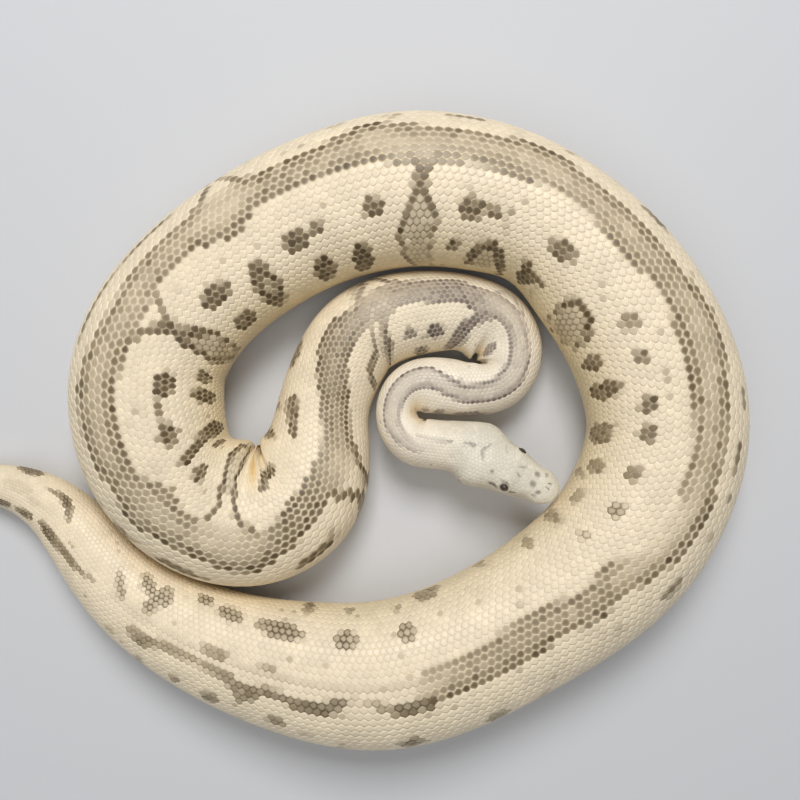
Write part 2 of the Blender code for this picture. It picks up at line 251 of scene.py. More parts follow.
class Body:
    """The tube of the neck, trunk and tail, by distance from the nape."""

    def __init__(self):
        self.table = spline_table(ROUTE)
        gaps = np.hypot(*np.diff(self.table[:, :2], axis=0).T)
        self.along = np.concatenate(((0.0,), np.cumsum(gaps)))
        self.length = float(self.along[-1])
        slope = np.gradient(self.table[:, :2], self.along, axis=0)
        self.heading = np.unwrap(np.arctan2(slope[:, 1], slope[:, 0]))
        self.bend = np.gradient(self.heading, self.along)

    def half_width(self, distance):
        """Half the body's width."""
        return np.interp(distance, self.along, self.table[:, 2])

    def height(self, distance):
        """The body's full height."""
        places = (NECK_LENGTH, NECK_LENGTH + 100, VENT - 100, VENT + 60)
        shares = (NECK_HEIGHT, TRUNK_HEIGHT, TRUNK_HEIGHT, TAIL_HEIGHT)
        return 2 * self.half_width(distance) * np.interp(distance, places, shares)

    def centre(self, distance):
        """The middles of the sections, at their widest level."""
        lift = looked_up(LIFT, distance)
        return np.stack((np.interp(distance, self.along, self.table[:, 0]),
                         np.interp(distance, self.along, self.table[:, 1]),
                         WIDEST_LEVEL * self.height(distance) + lift), axis=-1)

    def axes(self, distance):
        """Unit vectors towards the tail, to the snake's right and upward."""
        ahead = self.centre(distance + 3.0)
        behind = self.centre(np.maximum(distance - 3.0, 0.0))
        rise = (ahead - behind)[:, 2] / np.linalg.norm(ahead - behind, axis=1)
        rise = rise * ease((NECK_LENGTH - distance) / 40)
        heading = np.interp(distance, self.along, self.heading)
        tailward = unit(np.stack((np.cos(heading), np.sin(heading), rise), axis=-1))
        right = np.stack((-np.sin(heading), np.cos(heading), 0 * heading), axis=-1)
        return tailward, right, np.cross(tailward, right)

    def reach(self, distance, side):
        """Reach to the snake's right (1) or left (-1); a tight bend squeezes its inner side."""
        half = self.half_width(distance)
        for place, spread, height, roll_side in ROLLS:
            if side == roll_side:
                half = half + height * np.exp(-((distance - place) / spread) ** 2)
        bend = np.maximum(side * np.interp(distance, self.along, self.bend), 1e-6)
        squeeze = (half * bend / BEND_LIMIT) ** BEND_SHARPNESS
        return half / (1 + squeeze) ** (1 / BEND_SHARPNESS)

    def rings(self, distance, turns):
        """Rings of points round the body, one for each distance."""
        right_reach = self.reach(distance, 1)[:, None]
        left_reach = self.reach(distance, -1)[:, None]
        width = np.where(np.sin(turns) > 0, right_reach, left_reach)
        height = self.height(distance)[:, None]
        press = np.minimum(BELLY_PRESS, 0.05 * self.half_width(distance))[:, None]
        upper = rounded(turns, BACK_POWER, width, (1 - WIDEST_LEVEL) * height)
        lower = rounded(turns, BELLY_POWER, width, WIDEST_LEVEL * height + press)
        out, high = np.where(np.cos(turns) >= 0, upper, lower)
        _, right, up = self.axes(distance)
        points = (self.centre(distance)[:, None] + right[:, None] * out[..., None]
                  + up[:, None] * high[..., None])
        points = folded(points)
        points[..., 2] = np.maximum(points[..., 2], 0.0)
        return points


class Head:
    """The head, by place forward of its root, joined smoothly to the body's nape."""

    def __init__(self, body):
        tailward, right, up = (axis[0] for axis in body.axes(np.array((0.0,))))
        self.nape = body.centre(np.array((0.0,)))[0]
        self.nape_axes = (-tailward, -right, up)
        across = Matrix.Rotation(HEAD_HEADING, 3, "Z") @ Matrix.Rotation(-HEAD_PITCH, 3, "Y")
        turned = across @ Matrix.Rotation(-HEAD_ROLL, 3, "X")
        self.axes = tuple(np.array(turned.col[index]) for index in range(3))

    def frames(self, place):
        """The middles of the head at many places, and unit vectors to its left and up."""
        share = np.clip(1 - place / NAPE, 0.0, 1.0)[:, None]
        bend = self.nape + self.nape_axes[0] * (-NAPE / 2)
        middle = (1 - share) ** 2 * self.nape + 2 * share * (1 - share) * bend + share ** 2 * HEAD_ROOT
        middle = middle + self.axes[0] * np.maximum(place, 0.0)[:, None]
        blend = ease(share)
        forward = unit(self.nape_axes[0] * (1 - blend) + self.axes[0] * blend)
        up = self.nape_axes[2] * (1 - blend) + self.axes[2] * blend
        left = unit(np.cross(up, forward))
        return middle, left, np.cross(forward, left)

    def point(self, forward, outward, up):
        """A point given in the head's own directions; outward is to the left."""
        return HEAD_ROOT + self.axes[0] * forward + self.axes[1] * outward + self.axes[2] * up

    def local(self, points):
        """Points as forward, left and up from the head's root."""
        return (points - HEAD_ROOT) @ np.stack(self.axes, axis=1)

    def rings(self, place, turns):
        """Rings of points round the head, one for each place."""
        places, *shape = zip(*HEAD_SHAPE)
        half, crown, throat = (smooth_curve(places, values, place)[:, None] for values in shape)
        back = np.interp(place, (NAPE, NAPE / 3), (BACK_POWER, HEAD_POWER))[:, None]
        out, high = np.where(np.cos(turns) >= 0, rounded(turns, back, half, crown),
                             rounded(turns, HEAD_POWER, half, throat))
        middle, left, up = self.frames(place)
        return middle[:, None] - left[:, None] * out[..., None] + up[:, None] * high[..., None]


def spaced_round(rings, roll, shares):
    """Each ring's points at shares of half the girth from its dorsal line, and both half girths."""
    gaps = np.linalg.norm(np.diff(rings, axis=1), axis=2)
    arcs = np.concatenate((np.zeros((len(rings), 1)), np.cumsum(gaps, axis=1)), axis=1)
    right = arcs[:, rings.shape[1] // 2]
    left = arcs[:, -1] - right
    grid = np.empty((len(rings), len(shares), 3))
    for index, ring in enumerate(rings):
        side = np.where(shares > 0, right[index], left[index])
        place = np.mod(roll[index] + shares * side, arcs[index, -1])
        for axis in range(3):
            grid[index, :, axis] = np.interp(place, arcs[index], ring[:, axis])
    return grid, right, left


def grid_normals(grid):
    """Outward unit normals of a grid whose columns wrap round."""
    along = np.gradient(grid, axis=0)
    wrapped = np.concatenate((grid[:, -2:-1], grid, grid[:, 1:2]), axis=1)
    return unit(np.cross(along, wrapped[:, 2:] - wrapped[:, :-2]))


class Surface:
    """The skin's surface, by distance and by share of half the girth from the dorsal line."""

    def __init__(self, body, head):
        turns = np.linspace(0.0, 2 * math.pi, RING_POINTS)
        steps = np.sin(np.linspace(1.0, 0.0, HEAD_STATIONS) * math.pi / 2)
        places = NAPE + (HEAD_SHAPE[-1][0] - NAPE) * steps
        trunk = np.append(np.arange(STATION, body.length - TIP_GAP, STATION), body.length - TIP_GAP)
        self.distance = np.concatenate((NAPE - places, trunk))
        self.length = body.length
        rings = np.concatenate((head.rings(places, turns), body.rings(trunk, turns)))
        roll = looked_up(DORSAL_ROLL, self.distance)
        shares = np.linspace(-1.0, 1.0, COLUMNS + 1)
        outer, self.right_girth, self.left_girth = spaced_round(rings, roll, shares)
        normals = grid_normals(outer)
        outer = outer + normals * self.head_relief(head, outer, places)[..., None]
        normals = grid_normals(outer)
        self.points = outer - normals * self.depth(self.distance)[:, None, None]
        self.normals = grid_normals(self.points)

    @staticmethod
    def depth(distance):
        """The coat's depth."""
        return looked_up(COAT_DEPTH, distance)

    def head_relief(self, head, outer, places):
        """How far the head's brows, hollows, nostrils and mouth stand from its plain shape."""
        local = head.local(outer[:len(places)])
        relief = np.zeros(local.shape[:2])
        for forward, outward, up, spread, height in HEAD_RELIEF:
            for side in ((-1, 1) if outward else (1,)):
                gap = local - np.array((forward, side * outward, up))
                relief += height * np.exp(-np.sum(gap ** 2, axis=-1) / spread ** 2)
        for forward, outward, up, spread, height in NAPE_CREASES:
            gap = local - np.array((forward, outward, up))
            relief += height * np.exp(-np.sum(gap ** 2, axis=-1) / spread ** 2)
        for side in (-1, 1):
            reach = np.linalg.norm(local - np.array(EYE_PLACE) * (1, side, 1), axis=-1)
            relief += LID_RISE * np.exp(-((reach - LID_RADIUS) / LID_SPREAD) ** 2)
        level = looked_up(MOUTH_LINE, local[..., 0])
        groove = np.exp(-((local[..., 2] - level) / MOUTH_SPREAD) ** 2)
        relief -= MOUTH_DEPTH * groove * ease((local[..., 0] - MOUTH_LINE[0][0]) / 3.0)
        return np.pad(relief, ((0, len(outer) - len(places)), (0, 0)))

    def half_girth(self, distance, share):
        """Half the girth on the side that a share is on."""
        right = np.interp(distance, self.distance, self.right_girth)
        left = np.interp(distance, self.distance, self.left_girth)
        return np.where(np.asarray(share) > 0, right, left)

    def mix(self, grid, distance, share):
        """A grid's values between its rows and columns."""
        row = np.interp(distance, self.distance, np.arange(len(self.distance)))
        column = np.mod(np.asarray(share) + 1.0, 2.0) / 2.0 * COLUMNS
        row_index = np.minimum(row.astype(int), len(self.distance) - 2)
        column_index = np.minimum(column.astype(int), COLUMNS - 1)
        down = (row - row_index)[..., None]
        over = (column - column_index)[..., None]
        return ((grid[row_index, column_index] * (1 - over)
                 + grid[row_index, column_index + 1] * over) * (1 - down)
                + (grid[row_index + 1, column_index] * (1 - over)
                   + grid[row_index + 1, column_index + 1] * over) * down)

    def at(self, distance, share, height=0.0):
        """Points a height over the skin."""
        distance, share = np.broadcast_arrays(distance, share)
        normals = unit(self.mix(self.normals, distance, share))
        return self.mix(self.points, distance, share) + normals * np.asarray(height)[..., None]


class Lattice:
    """Rows of scales along the body, each half a scale out of step with the next."""

    def __init__(self, surface):
        self.distance = np.arange(surface.distance[0] + 1.0, surface.length - 1.0, LATTICE_STEP)
        right = np.interp(self.distance, surface.distance, surface.right_girth)
        left = np.interp(self.distance, surface.distance, surface.left_girth)
        girth = np.where(self.distance > NECK_LENGTH + 60, right, np.maximum(right, left))
        window = np.ones(GIRTH_WINDOW) / GIRTH_WINDOW
        self.girth = np.convolve(np.pad(girth, GIRTH_WINDOW // 2, mode="edge"), window, mode="valid")
        self.width = ROW_WIDTH * (self.girth / MID_GIRTH) ** ROW_GROWTH
        self.count = np.cumsum(LATTICE_STEP / (SCALE_LENGTH * self.width))

    def distance_of(self, column):
        """Distance of a place counted in scales."""
        return np.interp(column, self.count, self.distance)

    def column_of(self, distance):
        """The count of scales up to a distance."""
        return np.interp(distance, self.distance, self.count)

    def row_width(self, distance):
        """Width of the rows at a distance."""
        return np.interp(distance, self.distance, self.width)

    def share_of(self, row, distance):
        """Share of half the girth at which a row lies."""
        return row * self.row_width(distance) / np.interp(distance, self.distance, self.girth)

    def roots(self, start, end, reach=1 - BELLY_SHARE):
        """Column and row of each scale between two distances, up to a share from the dorsal line."""
        columns, rows = [], []
        for row in range(-MOST_ROWS, MOST_ROWS + 1):
            phase = 0.5 * (row % 2)
            first = math.ceil(self.column_of(start) - phase)
            column = np.arange(first, self.column_of(end) - phase) + phase
            share = np.abs(self.share_of(row, self.distance_of(column)))
            column = column[share < reach]
            columns.append(column)
            rows.append(np.full(len(column), float(row)))
        return np.concatenate(columns), np.concatenate(rows)


# ------------------------------------------------------------------ the markings

# The dorsal stripe: distance, offsets of its right and left borders, then how dark the
# right border, the middle and the left border are.
STRIPE = (
    (8, 4, 1, 0, 0, 0), (16, 6, 0, .35, .15, .2), (28, 8.5, -1, .5, .14, .4), (40, 8.5, -2.5, .6, .13, .55),
    (52, 9.5, -2, .75, .14, .65), (60, 5.5, -4.5, .75, .16, .7), (67, 3, -6, .75, .18, .75),
    (76, 4, -6.5, .75, .18, .75), (90, 6.5, -6, .75, .16, .75), (100, 7, -4, .7, .15, .5),
    (110, 6.5, -3, .6, .15, .4), (118, 6.5, -5, .55, .15, .4), (126, 9, -5, .6, .25, .45),
    (131, 9, -5, .6, .5, .5), (136, 6, -6.5, .7, .6, .7), (146, 6, -8.5, .7, .6, .75),
    (156, 4, -9, .65, .5, .7), (166, 4, -10, .55, .45, .6), (174, 7, -10, .3, .25, .2),
    (181, 5, -6, .6, .4, .55), (190, 5, -10.5, .75, .6, .75), (200, 6, -10.5, .8, .6, .8),
    (210, 9, -8, .8, .55, .8), (222, 11.5, -3.5, .8, .5, .75), (235, 12.5, -2, .75, .35, .7),
    (242, 14, -2.5, .5, .3, .6), (250, 14, -6, .05, .3, .7), (257, 9, -9, .3, .4, .75),
    (263, 3, -11, .8, .7, .85), (272, 4, -11.5, .85, .75, .85), (279, 5.5, -9.5, .85, .7, .8),
    (286, 8, -6, .85, .6, .6), (293, 12, -9, .85, .35, .4), (300, 11.5, -12, .85, .25, .1),
    (308, 8, -11, .8, .2, .1), (318, 6, -10, .8, .2, .6), (325, 7, -12, .8, .25, .7),
    (334, 11.5, -17, .8, .3, .75), (341, 9.5, -13, .75, .35, .7), (347, 8, -8.5, .7, .4, .7),
    (362, 12.5, -8, .7, .3, .8), (385, 13.5, -9, .7, .25, .75), (393, 11.5, -10, .65, .25, .7),
    (402, 7, -10.5, .6, .25, .7), (415, 6, -12, .55, .25, .5), (428, 7.5, -8, .55, .25, .5),
    (452, 8, -9, .55, .25, .7), (460, 11, -12, .6, .25, .75), (466, 12, -14.5, .1, .2, .85),
    (475, 12, -12, .1, .2, .8), (481, 11.5, -8, .65, .25, .65), (488, 7.5, -8, .7, .3, .65),
    (496, 6.5, -8.5, .7, .4, .7), (508, 8, -9, .75, .35, .8), (520, 10, -9, .75, .3, .75),
    (528, 13.5, -8, .8, .3, .7), (536, 15, -9, .8, .25, .7), (545, 11.5, -11, .7, .25, .7),
    (554, 9.5, -12, .6, .3, .6), (562, 9, -12, .6, .3, .75), (572, 9, -9.5, .65, .3, .75),
    (585, 9, -10, .65, .3, .8), (595, 12, -10.5, .75, .25, .75), (603, 12, -9, .75, .25, .6),
    (614, 9, -8.5, .65, .25, .55), (628, 7.5, -9, .6, .25, .55), (640, 8.5, -11.5, .65, .25, .75),
    (650, 8, -13, .65, .3, .8), (658, 7, -9.5, .6, .35, .65), (666, 8, -7.5, .7, .4, .6),
    (676, 11.5, -9.5, .75, .3, .65), (685, 13.5, -10.5, .75, .25, .7), (697, 12, -11, .7, .25, .75),
    (710, 9, -11.5, .65, .25, .75), (722, 7, -10, .55, .25, .6), (738, 7, -9.5, .6, .2, .55),
    (750, 10, -9, .75, .15, .5), (757, 11.5, -6, .8, .12, .3), (762, 11.5, -4, .8, .1, .05),
    (780, 10, -4, .8, .08, .05), (790, 8.5, -8, .75, .1, .3), (797, 5.5, -13, .5, .2, .6),
    (804, 5, -10, .55, .3, .6), (812, 7, -8.5, .8, .3, .6), (822, 6.5, -9.5, .75, .3, .65),
    (832, 5, -10, .7, .3, .7), (842, 7, -10, .8, .35, .7), (858, 7, -9, .75, .3, .65),
    (870, 7, -7, .7, .25, .5), (884, 7.5, -8.5, .7, .15, .5), (892, 9.5, -8, .75, .1, .4),
    (897, 10.5, -3, .75, .08, .05), (900, 7, 3, 0, 0, 0),
)
# Dark bands that branch off the stripe, wall its side arms or carry it on to the tail:
# distance, offset, half width, darkness.
BANDS = (
    ((124, 8, 2, .5), (128, 10, 2.5, .7), (132, 14, 3, .75), (136, 20, 4, .8), (142, 31, 3, .7)),
    ((173, 5, 1.2, .5), (176, 13, 2, .75), (176, 18, 2.5, .85), (180, 25, 2, .8), (184, 31, 1.5, .7)),
    ((181, 4, 1, .5), (182, 12, 1.2, .5), (187, 17, 1.8, .75), (200, 18.5, 2, .8), (206, 25, 2, .7)),
    ((163, -9, 1.5, .6), (168, -13, 1.5, .6), (173, -22, 1.5, .6)),
    ((181, -6, 1.5, .5), (177, -12, 1.3, .6), (175, -22, 1.3, .6)),
    ((108, -3, 1, .3), (114, -5, 1, .35), (119, -9, 1, .35)),
    ((126, -4, 1, .35), (122, -7, 1, .35), (120, -10, 1, .35)),
    ((240, 13, 1.5, .7), (246, 16.5, 1.6, .75), (250, 20, 1.8, .8), (253, 25, 2, .8), (254, 34, 2, .7)),
    ((260, 5, 1.3, .7), (259, 12, 1.4, .75), (258, 19, 1.6, .8), (259, 25, 2.2, .8), (262, 31, 2, .7)),
    ((291, -8, 1.5, .6), (296, -12, 1.6, .7), (300, -17, 1.6, .8), (303, -33, 2, .8), (302, -40, 2, .8),
     (299, -47, 2, .85), (301, -53, 2, .75)),
    ((318, -10, 1.3, .6), (313, -14, 1.3, .65), (311, -20, 1.5, .75), (312, -30, 2, .8), (314, -38, 2, .8),
     (317, -45, 2.2, .85), (314, -51, 2.2, .8), (307, -53, 2.2, .75)),
    ((405, -10, 1.5, .6), (411, -15, 2.2, .75), (416, -20, 2.2, .85), (418, -25, 2.4, .9),
     (415, -32, 2.5, .9), (415, -39, 2, .8), (413.5, -47, 2.4, .85), (417, -55, 1.8, .7),
     (425, -63, 1.4, .6)),
    ((427, -9, 1.2, .5), (423, -14, 1.3, .6), (419, -20, 1.8, .8), (419, -27, 2, .85), (423, -33, 2.2, .85),
     (429, -41, 1.8, .8), (430, -49, 1.6, .75), (429, -62, 1.5, .6)),
    ((550, -10, 1.5, .6), (552, -14, 1.6, .75), (551, -19, 1.8, .85), (547, -27, 1.6, .85),
     (544, -34, 1.5, .8), (540, -45, 1.8, .85), (543, -55, 1.3, .75), (549, -66, 1.3, .6)),
    ((558, -10, 1.5, .6), (555, -15, 1.6, .75), (554, -21, 1.6, .8), (558, -29, 1.7, .85),
     (560, -34, 1.8, .85), (559, -41, 1.4, .6), (558, -48, 1, .5), (559, -65, 1, .4)),
    ((460, 10, 1.2, .6), (465, 14, 1.2, .6), (468, 19, 1.2, .5), (468, 27, 1.2, .4)),
    ((482, 11, 1.2, .65), (477, 14.5, 1.2, .6), (474, 19, 1.2, .5), (474, 27, 1.2, .4)),
    ((583, -58, 2.5, .85), (584, -50, 3, .9), (588, -45, 3, .9), (594, -43.5, 3, .9), (601, -47, 3, .9),
     (605, -55, 2.5, .85), (606, -63, 2, .6)),
    ((617, -43, 2.5, .85), (620, -50, 4.5, .9), (620, -58, 3, .85)),
    ((623, -47, 3, .85), (632, -47.5, 1.8, .75)),
    ((654, -66, 1.2, .5), (647, -58, 1.2, .55), (648, -52, 1.4, .7), (646.5, -45, 2.2, .9),
     (650, -40, 2.3, .9), (657, -39, 2.1, .9), (664, -42, 2, .9), (669, -47, 1.8, .8), (671, -55, 1.5, .6),
     (664, -64, 1.2, .45)),
    ((893, 7, 3.2, .8), (905, 8, 3.2, .8), (911, 6.5, 2.5, .65), (917, 3, 1.2, .35), (926, 1, 1.2, .35),
     (932, 4.5, 3, .7), (938, 8, 3.8, .8), (946, 8, 3.4, .8), (954, 6, 2.4, .75), (964, 5, 2.4, .75),
     (969, 7, 3.4, .7), (973, 10, 4.5, .65), (978, 6, 3, .7), (983, 3.8, 2.2, .55), (995, 2.8, 2.2, .45),
     (1008, 3.4, 2.2, .5), (1016, 5, 2.2, .65), (1022, 8, 3.3, .7), (1028, 7, 2.5, .5)),
    ((1054, 1.8, .8, .45), (1060, 3.6, 1.1, .55), (1066, 5, 1.7, .65), (1076, 5.8, 2.1, .75),
     (1083, 6.1, 2.5, .85), (1088, 5.8, 2.4, .9), (1093, 4.9, 1.4, .7)),
    ((1100, -10.3, .7, .5), (1095, -11.3, 1.4, .75), (1091, -11.5, 2.3, .9), (1088, -10, 2, .9),
     (1085.5, -7.5, 1.3, .8), (1084, -5.8, .9, .6)),
    ((1100, 6.5, 1.8, .75), (1104, 7, 2.6, .85), (1109, 7, 1.4, .7)),
    ((1115, 7, 2, .8), (1122, 7.5, 2.6, .85), (1131, 7, 2.2, .8), (1142, 5, 1.8, .75), (1152, 3, 1.2, .7)),
    ((896, -2, 1.4, .14), (950, -2.5, 1.4, .12), (1000, -1.5, 1.4, .14), (1045, -1, 1.2, .12)),
    ((344, -28, 2.5, .85), (348, -36, 3.2, .9), (353, -44, 5, .9), (357, -52, 6.5, .9)),
    ((-18.6, 3.9, .6, .3), (-16.8, .2, .8, .5), (-18.6, -4.3, .6, .35)),
    ((-26.6, -4.9, .45, .25), (-25.4, -7.2, .45, .2)),
    ((-37.2, -2.8, .5, .3), (-36.2, -2, .5, .35), (-34.6, -1.4, .5, .3)),
    ((-36.9, 2.4, .5, .3), (-36, 2, .5, .4), (-34.9, 1.4, .5, .35)),
    ((-50.6, -2.2, .28, .9), (-49.2, -1.5, .22, .8)),
    ((-50.8, .8, .28, .9), (-49.3, .4, .22, .8)),
    ((14, -2.5, .6, .35), (6, -2.4, .6, .45), (-2, -2.3, .8, .5)),
    ((-7.6, -1.5, .6, .3), (-12.4, -.6, .7, .5)),
)
# Blotches: distance, offset, half length, half width, tilt in degrees, darkness.
BLOTCHES = (
    (150, 18.5, 4.5, 4, 0, .85), (163, 17, 3.5, 3, 0, .7), (158, 31, 4, 5, 0, .75),
    (85, 18.5, 9, 2.5, 0, .5), (107, 18, 6, 4.5, 0, .65), (50, -14.5, 2.5, 2, 0, .6),
    (58, -16, 2.8, 4, 0, .6), (71, -16, 6, 4.5, 0, .6), (207, -27, 6, 6, 0, .65),
    (228, -17.5, 5.5, 4, 0, .8), (236, -16, 4.5, 2.2, 0, .75), (228, -31, 1.5, 5, 0, .45),
    (240, -34, 2.8, 8, 0, .75), (264, -27.5, 7, 2.5, -5, .75), (270, -29, 7, 3.4, 5, .85),
    (277, -26, 5, 3, 25, .85), (277, 18.5, 6.5, 3, 0, .85), (316, 20, 8, 3, 0, .8), (335, 24, 4, 5, 0, .6),
    (331, -29.5, 5.5, 4, -15, .75), (339, -48, 4, 5.5, 0, .8), (361, -27.5, 6.5, 4.5, -25, .85),
    (374, -27, 5, 2, 0, .75), (388, -29, 8.5, 4.5, -5, .9), (382, -49, 6, 7.5, -20, .9),
    (398, -47.5, 6, 5, 0, .75), (444, -29, 8.5, 4.3, 0, .85), (446, -48, 6.5, 5, 0, .85),
    (490, -29, 6, 5.2, 0, .8), (501, -27.5, 4.5, 2.3, 0, .75), (497, -48, 5.5, 8, -20, .9),
    (518, -51, 5.5, 10, 0, .95), (529, -27, 5.5, 4.5, 0, .8), (577, -28.5, 6.5, 5.8, 0, .85),
    (588, -27.5, 6, 2.3, 0, .7), (596, -24, 1.6, 1.6, 0, .4), (597, -33, 1.6, 1.6, 0, .4),
    (571, -46.5, 3.5, 4, 0, .7), (627, -28, 7.5, 4.3, 0, .8), (683, -52, 4.5, 6.5, 0, .75),
    (690, -28.5, 4, 3.6, 0, .6), (673, -26.4, 4, 4, 0, .6), (701, -50, 5.5, 10, 0, .8),
    (714, -29.5, 5, 4.3, 0, .7), (730, -29, 5.5, 4.3, 0, .7), (733, -53, 9.5, 9, 0, .65),
    (753, -27.5, 4, 4, 0, .65), (756, -46, 5, 5.5, 0, .55), (778, -45, 4.5, 4, 0, .3),
    (765, -56, 3, 7, 0, .4), (787, 20.5, 4.5, 2.8, 0, .75), (811, 18, 3, 1.6, 0, .4),
    (735, 17.5, 5, 2.2, 0, .75), (716, 20, 3.5, 2.2, 0, .65), (750, 20, 2, 1.6, 0, .55),
    (764, 19, 2, 1.6, 0, .35), (645, 21, 6, 4, 0, .7), (608, 20, 2, 2.5, 0, .4),
    (410, 19.5, 12, 1.8, 0, .6), (438, 19.5, 12, 1.8, 0, .6), (523, 21.5, 5, 1.6, 0, .45),
    (544, 21, 4, 1.6, 0, .45), (569, 19, 7, 2, 0, .6), (841, -16, 2, 1.6, 0, .25), (781, -45, 5, 4, 0, .35),
    (800, -47, 4, 8, 0, .5), (820, -43, 3, 6, 0, .45), (848, -50, 3, 4, 0, .4), (880, -46, 8, 7.5, 0, .55),
    (899, -41, 2, 3, 0, .4), (930, -43, 3, 3, 0, .4), (952, -44, 3, 8, 0, .6), (871, 32, 4, 4, 0, .6),
    (850, 34, 2, 3, 0, .35), (904, 30, 5, 5, 0, .6), (929, 34, 2, 3, 0, .3), (957, 20, 3.5, 3.5, 0, .65),
    (944, 25, 2, 1.6, 0, .35), (986, 20, 3.5, 4.2, 0, .65), (1003, 18.5, 2.5, 2.8, 0, .55),
    (1020, 23, 2, 6, 0, .35), (1036, 15.5, 3, 1.6, 0, .35), (965, -5.5, 4, 2.2, 0, .45),
    (990, -4, 7, 3, 0, .5), (1112, -17, 6, 5, 0, .85), (1112, -4, 8, 3, 0, .13),
    (1101, -1.5, 5, 1.6, 0, .13), (-43.2, -2.7, 1.35, 1.15, 0, .55), (-43.2, 2.1, 1.6, 1.35, 0, .5),
    (-47.4, -5.1, .9, .8, 0, .6), (-47.1, 4.4, 1, .9, 0, .85), (-46, 6.7, .9, .8, 0, .35),
    (-24.8, 6.7, 1, .8, 0, .45), (-12.4, 22.4, 2.2, 1.4, 0, .7), (-31.8, 8.2, 2, 1.3, 0, .55),
    (-32.2, -9.6, 1.2, .8, 0, .3), (-27.6, 12.3, 2.3, .85, -8, .85), (-28.3, -12.5, 1.9, .7, 0, .6),
    (-36.4, 11.2, 2, .6, 12, .7), (-36.6, -11.9, 1.7, .5, 0, .5),
)
# Blotches with a pale middle.
HOLLOW_BLOTCHES = ((467, -41, 6.5, 14, 0, .9),)
# Netted blotches, dark in the seams between their scales.
NETTED_BLOTCHES = (
    (551, -36, 7, 14, 0, .45), (550, -56, 7, 10, 0, .3), (422, -44, 6.5, 11, 0, .5),
    (422, -59, 6, 6, 0, .4), (658, -51, 9, 12, 0, .42), (308, -40, 6, 14, 0, .26), (590, -52, 10, 7, 0, .4),
    (178, -15, 3, 8, 0, .35), (180, 22, 4, 8, 0, .35), (774, -25.5, 4.5, 4, 0, .6),
    (795, -27, 3, 3, 0, .45), (896, -26, 4.8, 4.8, 0, .7), (930, -24, 6, 5, 0, .75),
    (964, -23.5, 12.5, 4, 0, .8), (990, -23, 7, 4, 0, .8), (1005, -24.5, 4, 3.5, 0, .75),
    (1024, -15, 4.5, 5, 0, .8), (1034, -15, 7, 3, -25, .75), (1027, -8, 3, 4, 0, .7),
    (1045, -6, 7, 2, -35, .6),
)
MARK_SOFTNESS = 1.1
# By distance: how far in the stripe's dark borders reach, how dark its seams are at most, and
# how dark the seams and the scales are in the blotches, of the marks' own darkness.
BORDER_SPREAD = ((100, 2.2), (250, 6.5))
STRIPE_SEAM = ((150, 0.34), (260, 0.12))
BLOTCH_SEAM = ((700, 0.55), (880, 1))
BLOTCH_CORE = ((700, 1), (880, 0.6))
SEAM_GAIN = 2.5             # how fast the stripe's seams darken with its scales
SEAM_START = 0.04           # how dark they are where its scales are pale
NET_CORE = 0.35             # how dark the netted blotches' scales are, of their seams
HOLLOW_CORE = 0.3           # how dark the hollow blotches' middles are, of their rims


def band_darkness(band, distance, offset):
    """How dark one band of varying width makes each place."""
    dark = np.zeros(distance.shape)
    for start, end in itertools.pairwise(np.array(band)):
        run = end[:2] - start[:2]
        share = ((distance - start[0]) * run[0] + (offset - start[1]) * run[1]) / (run @ run)
        share = np.clip(share, 0.0, 1.0)
        gap = np.hypot(distance - start[0] - share * run[0], offset - start[1] - share * run[1])
        half = start[2] + (end[2] - start[2]) * share
        tone = start[3] + (end[3] - start[3]) * share
        softness = np.minimum(MARK_SOFTNESS, half)
        dark = np.maximum(dark, tone * np.clip((half - gap) / softness + 0.5, 0.0, 1.0))
    return dark


def blotch_radius(blotch, distance, offset):
    """How far out from a blotch's middle each place is; its edge is at 1."""
    place, side, length, width, tilt = blotch[:5]
    turn = math.radians(tilt)
    along = (distance - place) * math.cos(turn) + (offset - side) * math.sin(turn)
    across = (offset - side) * math.cos(turn) - (distance - place) * math.sin(turn)
    return np.hypot(along / length, across / width)


def blotch_darkness(blotch, distance, offset):
    """How dark one blotch makes each place."""
    narrow = min(blotch[2], blotch[3])
    radius = blotch_radius(blotch, distance, offset)
    return blotch[5] * np.clip((1 - radius) * narrow / min(MARK_SOFTNESS, narrow) + 0.5, 0.0, 1.0)


def stripe_darkness(distance, offset):
    """How dark the dorsal stripe makes the scales, and the seams between them."""
    places, *borders = zip(*STRIPE)
    right, left, right_dark, middle, left_dark = (np.interp(distance, places, row) for row in borders)
    right_gap = right - offset
    left_gap = offset - left
    inside = np.clip(np.minimum(right_gap, left_gap) / MARK_SOFTNESS + 0.5, 0.0, 1.0)
    spread = looked_up(BORDER_SPREAD, distance)
    right_border = np.exp(-(np.maximum(right_gap, 0.0) / spread) ** 3)
    left_border = np.exp(-(np.maximum(left_gap, 0.0) / spread) ** 3)
    dark = middle + (right_dark - middle) * right_border + (left_dark - middle) * left_border
    in_reach = (distance > places[0]) & (distance < places[-1])
    most = looked_up(STRIPE_SEAM, distance)
    seam = np.minimum(most, SEAM_GAIN * most * dark + SEAM_START)
    return np.where(in_reach, dark * inside, 0.0), np.where(in_reach, seam * inside, 0.0)


def hollow_darkness(blotch, distance, offset):
    """How dark one blotch with a pale middle makes each place."""
    rim = ease((blotch_radius(blotch, distance, offset) - 0.15) / 0.5)
    hollow = HOLLOW_CORE + (1 - HOLLOW_CORE) * rim
    return blotch_darkness(blotch, distance, offset) * hollow


def darkest(marks, shade, distance, offset):
    """How dark the darkest of many marks makes each place."""
    return functools.reduce(np.maximum, (shade(mark, distance, offset) for mark in marks))


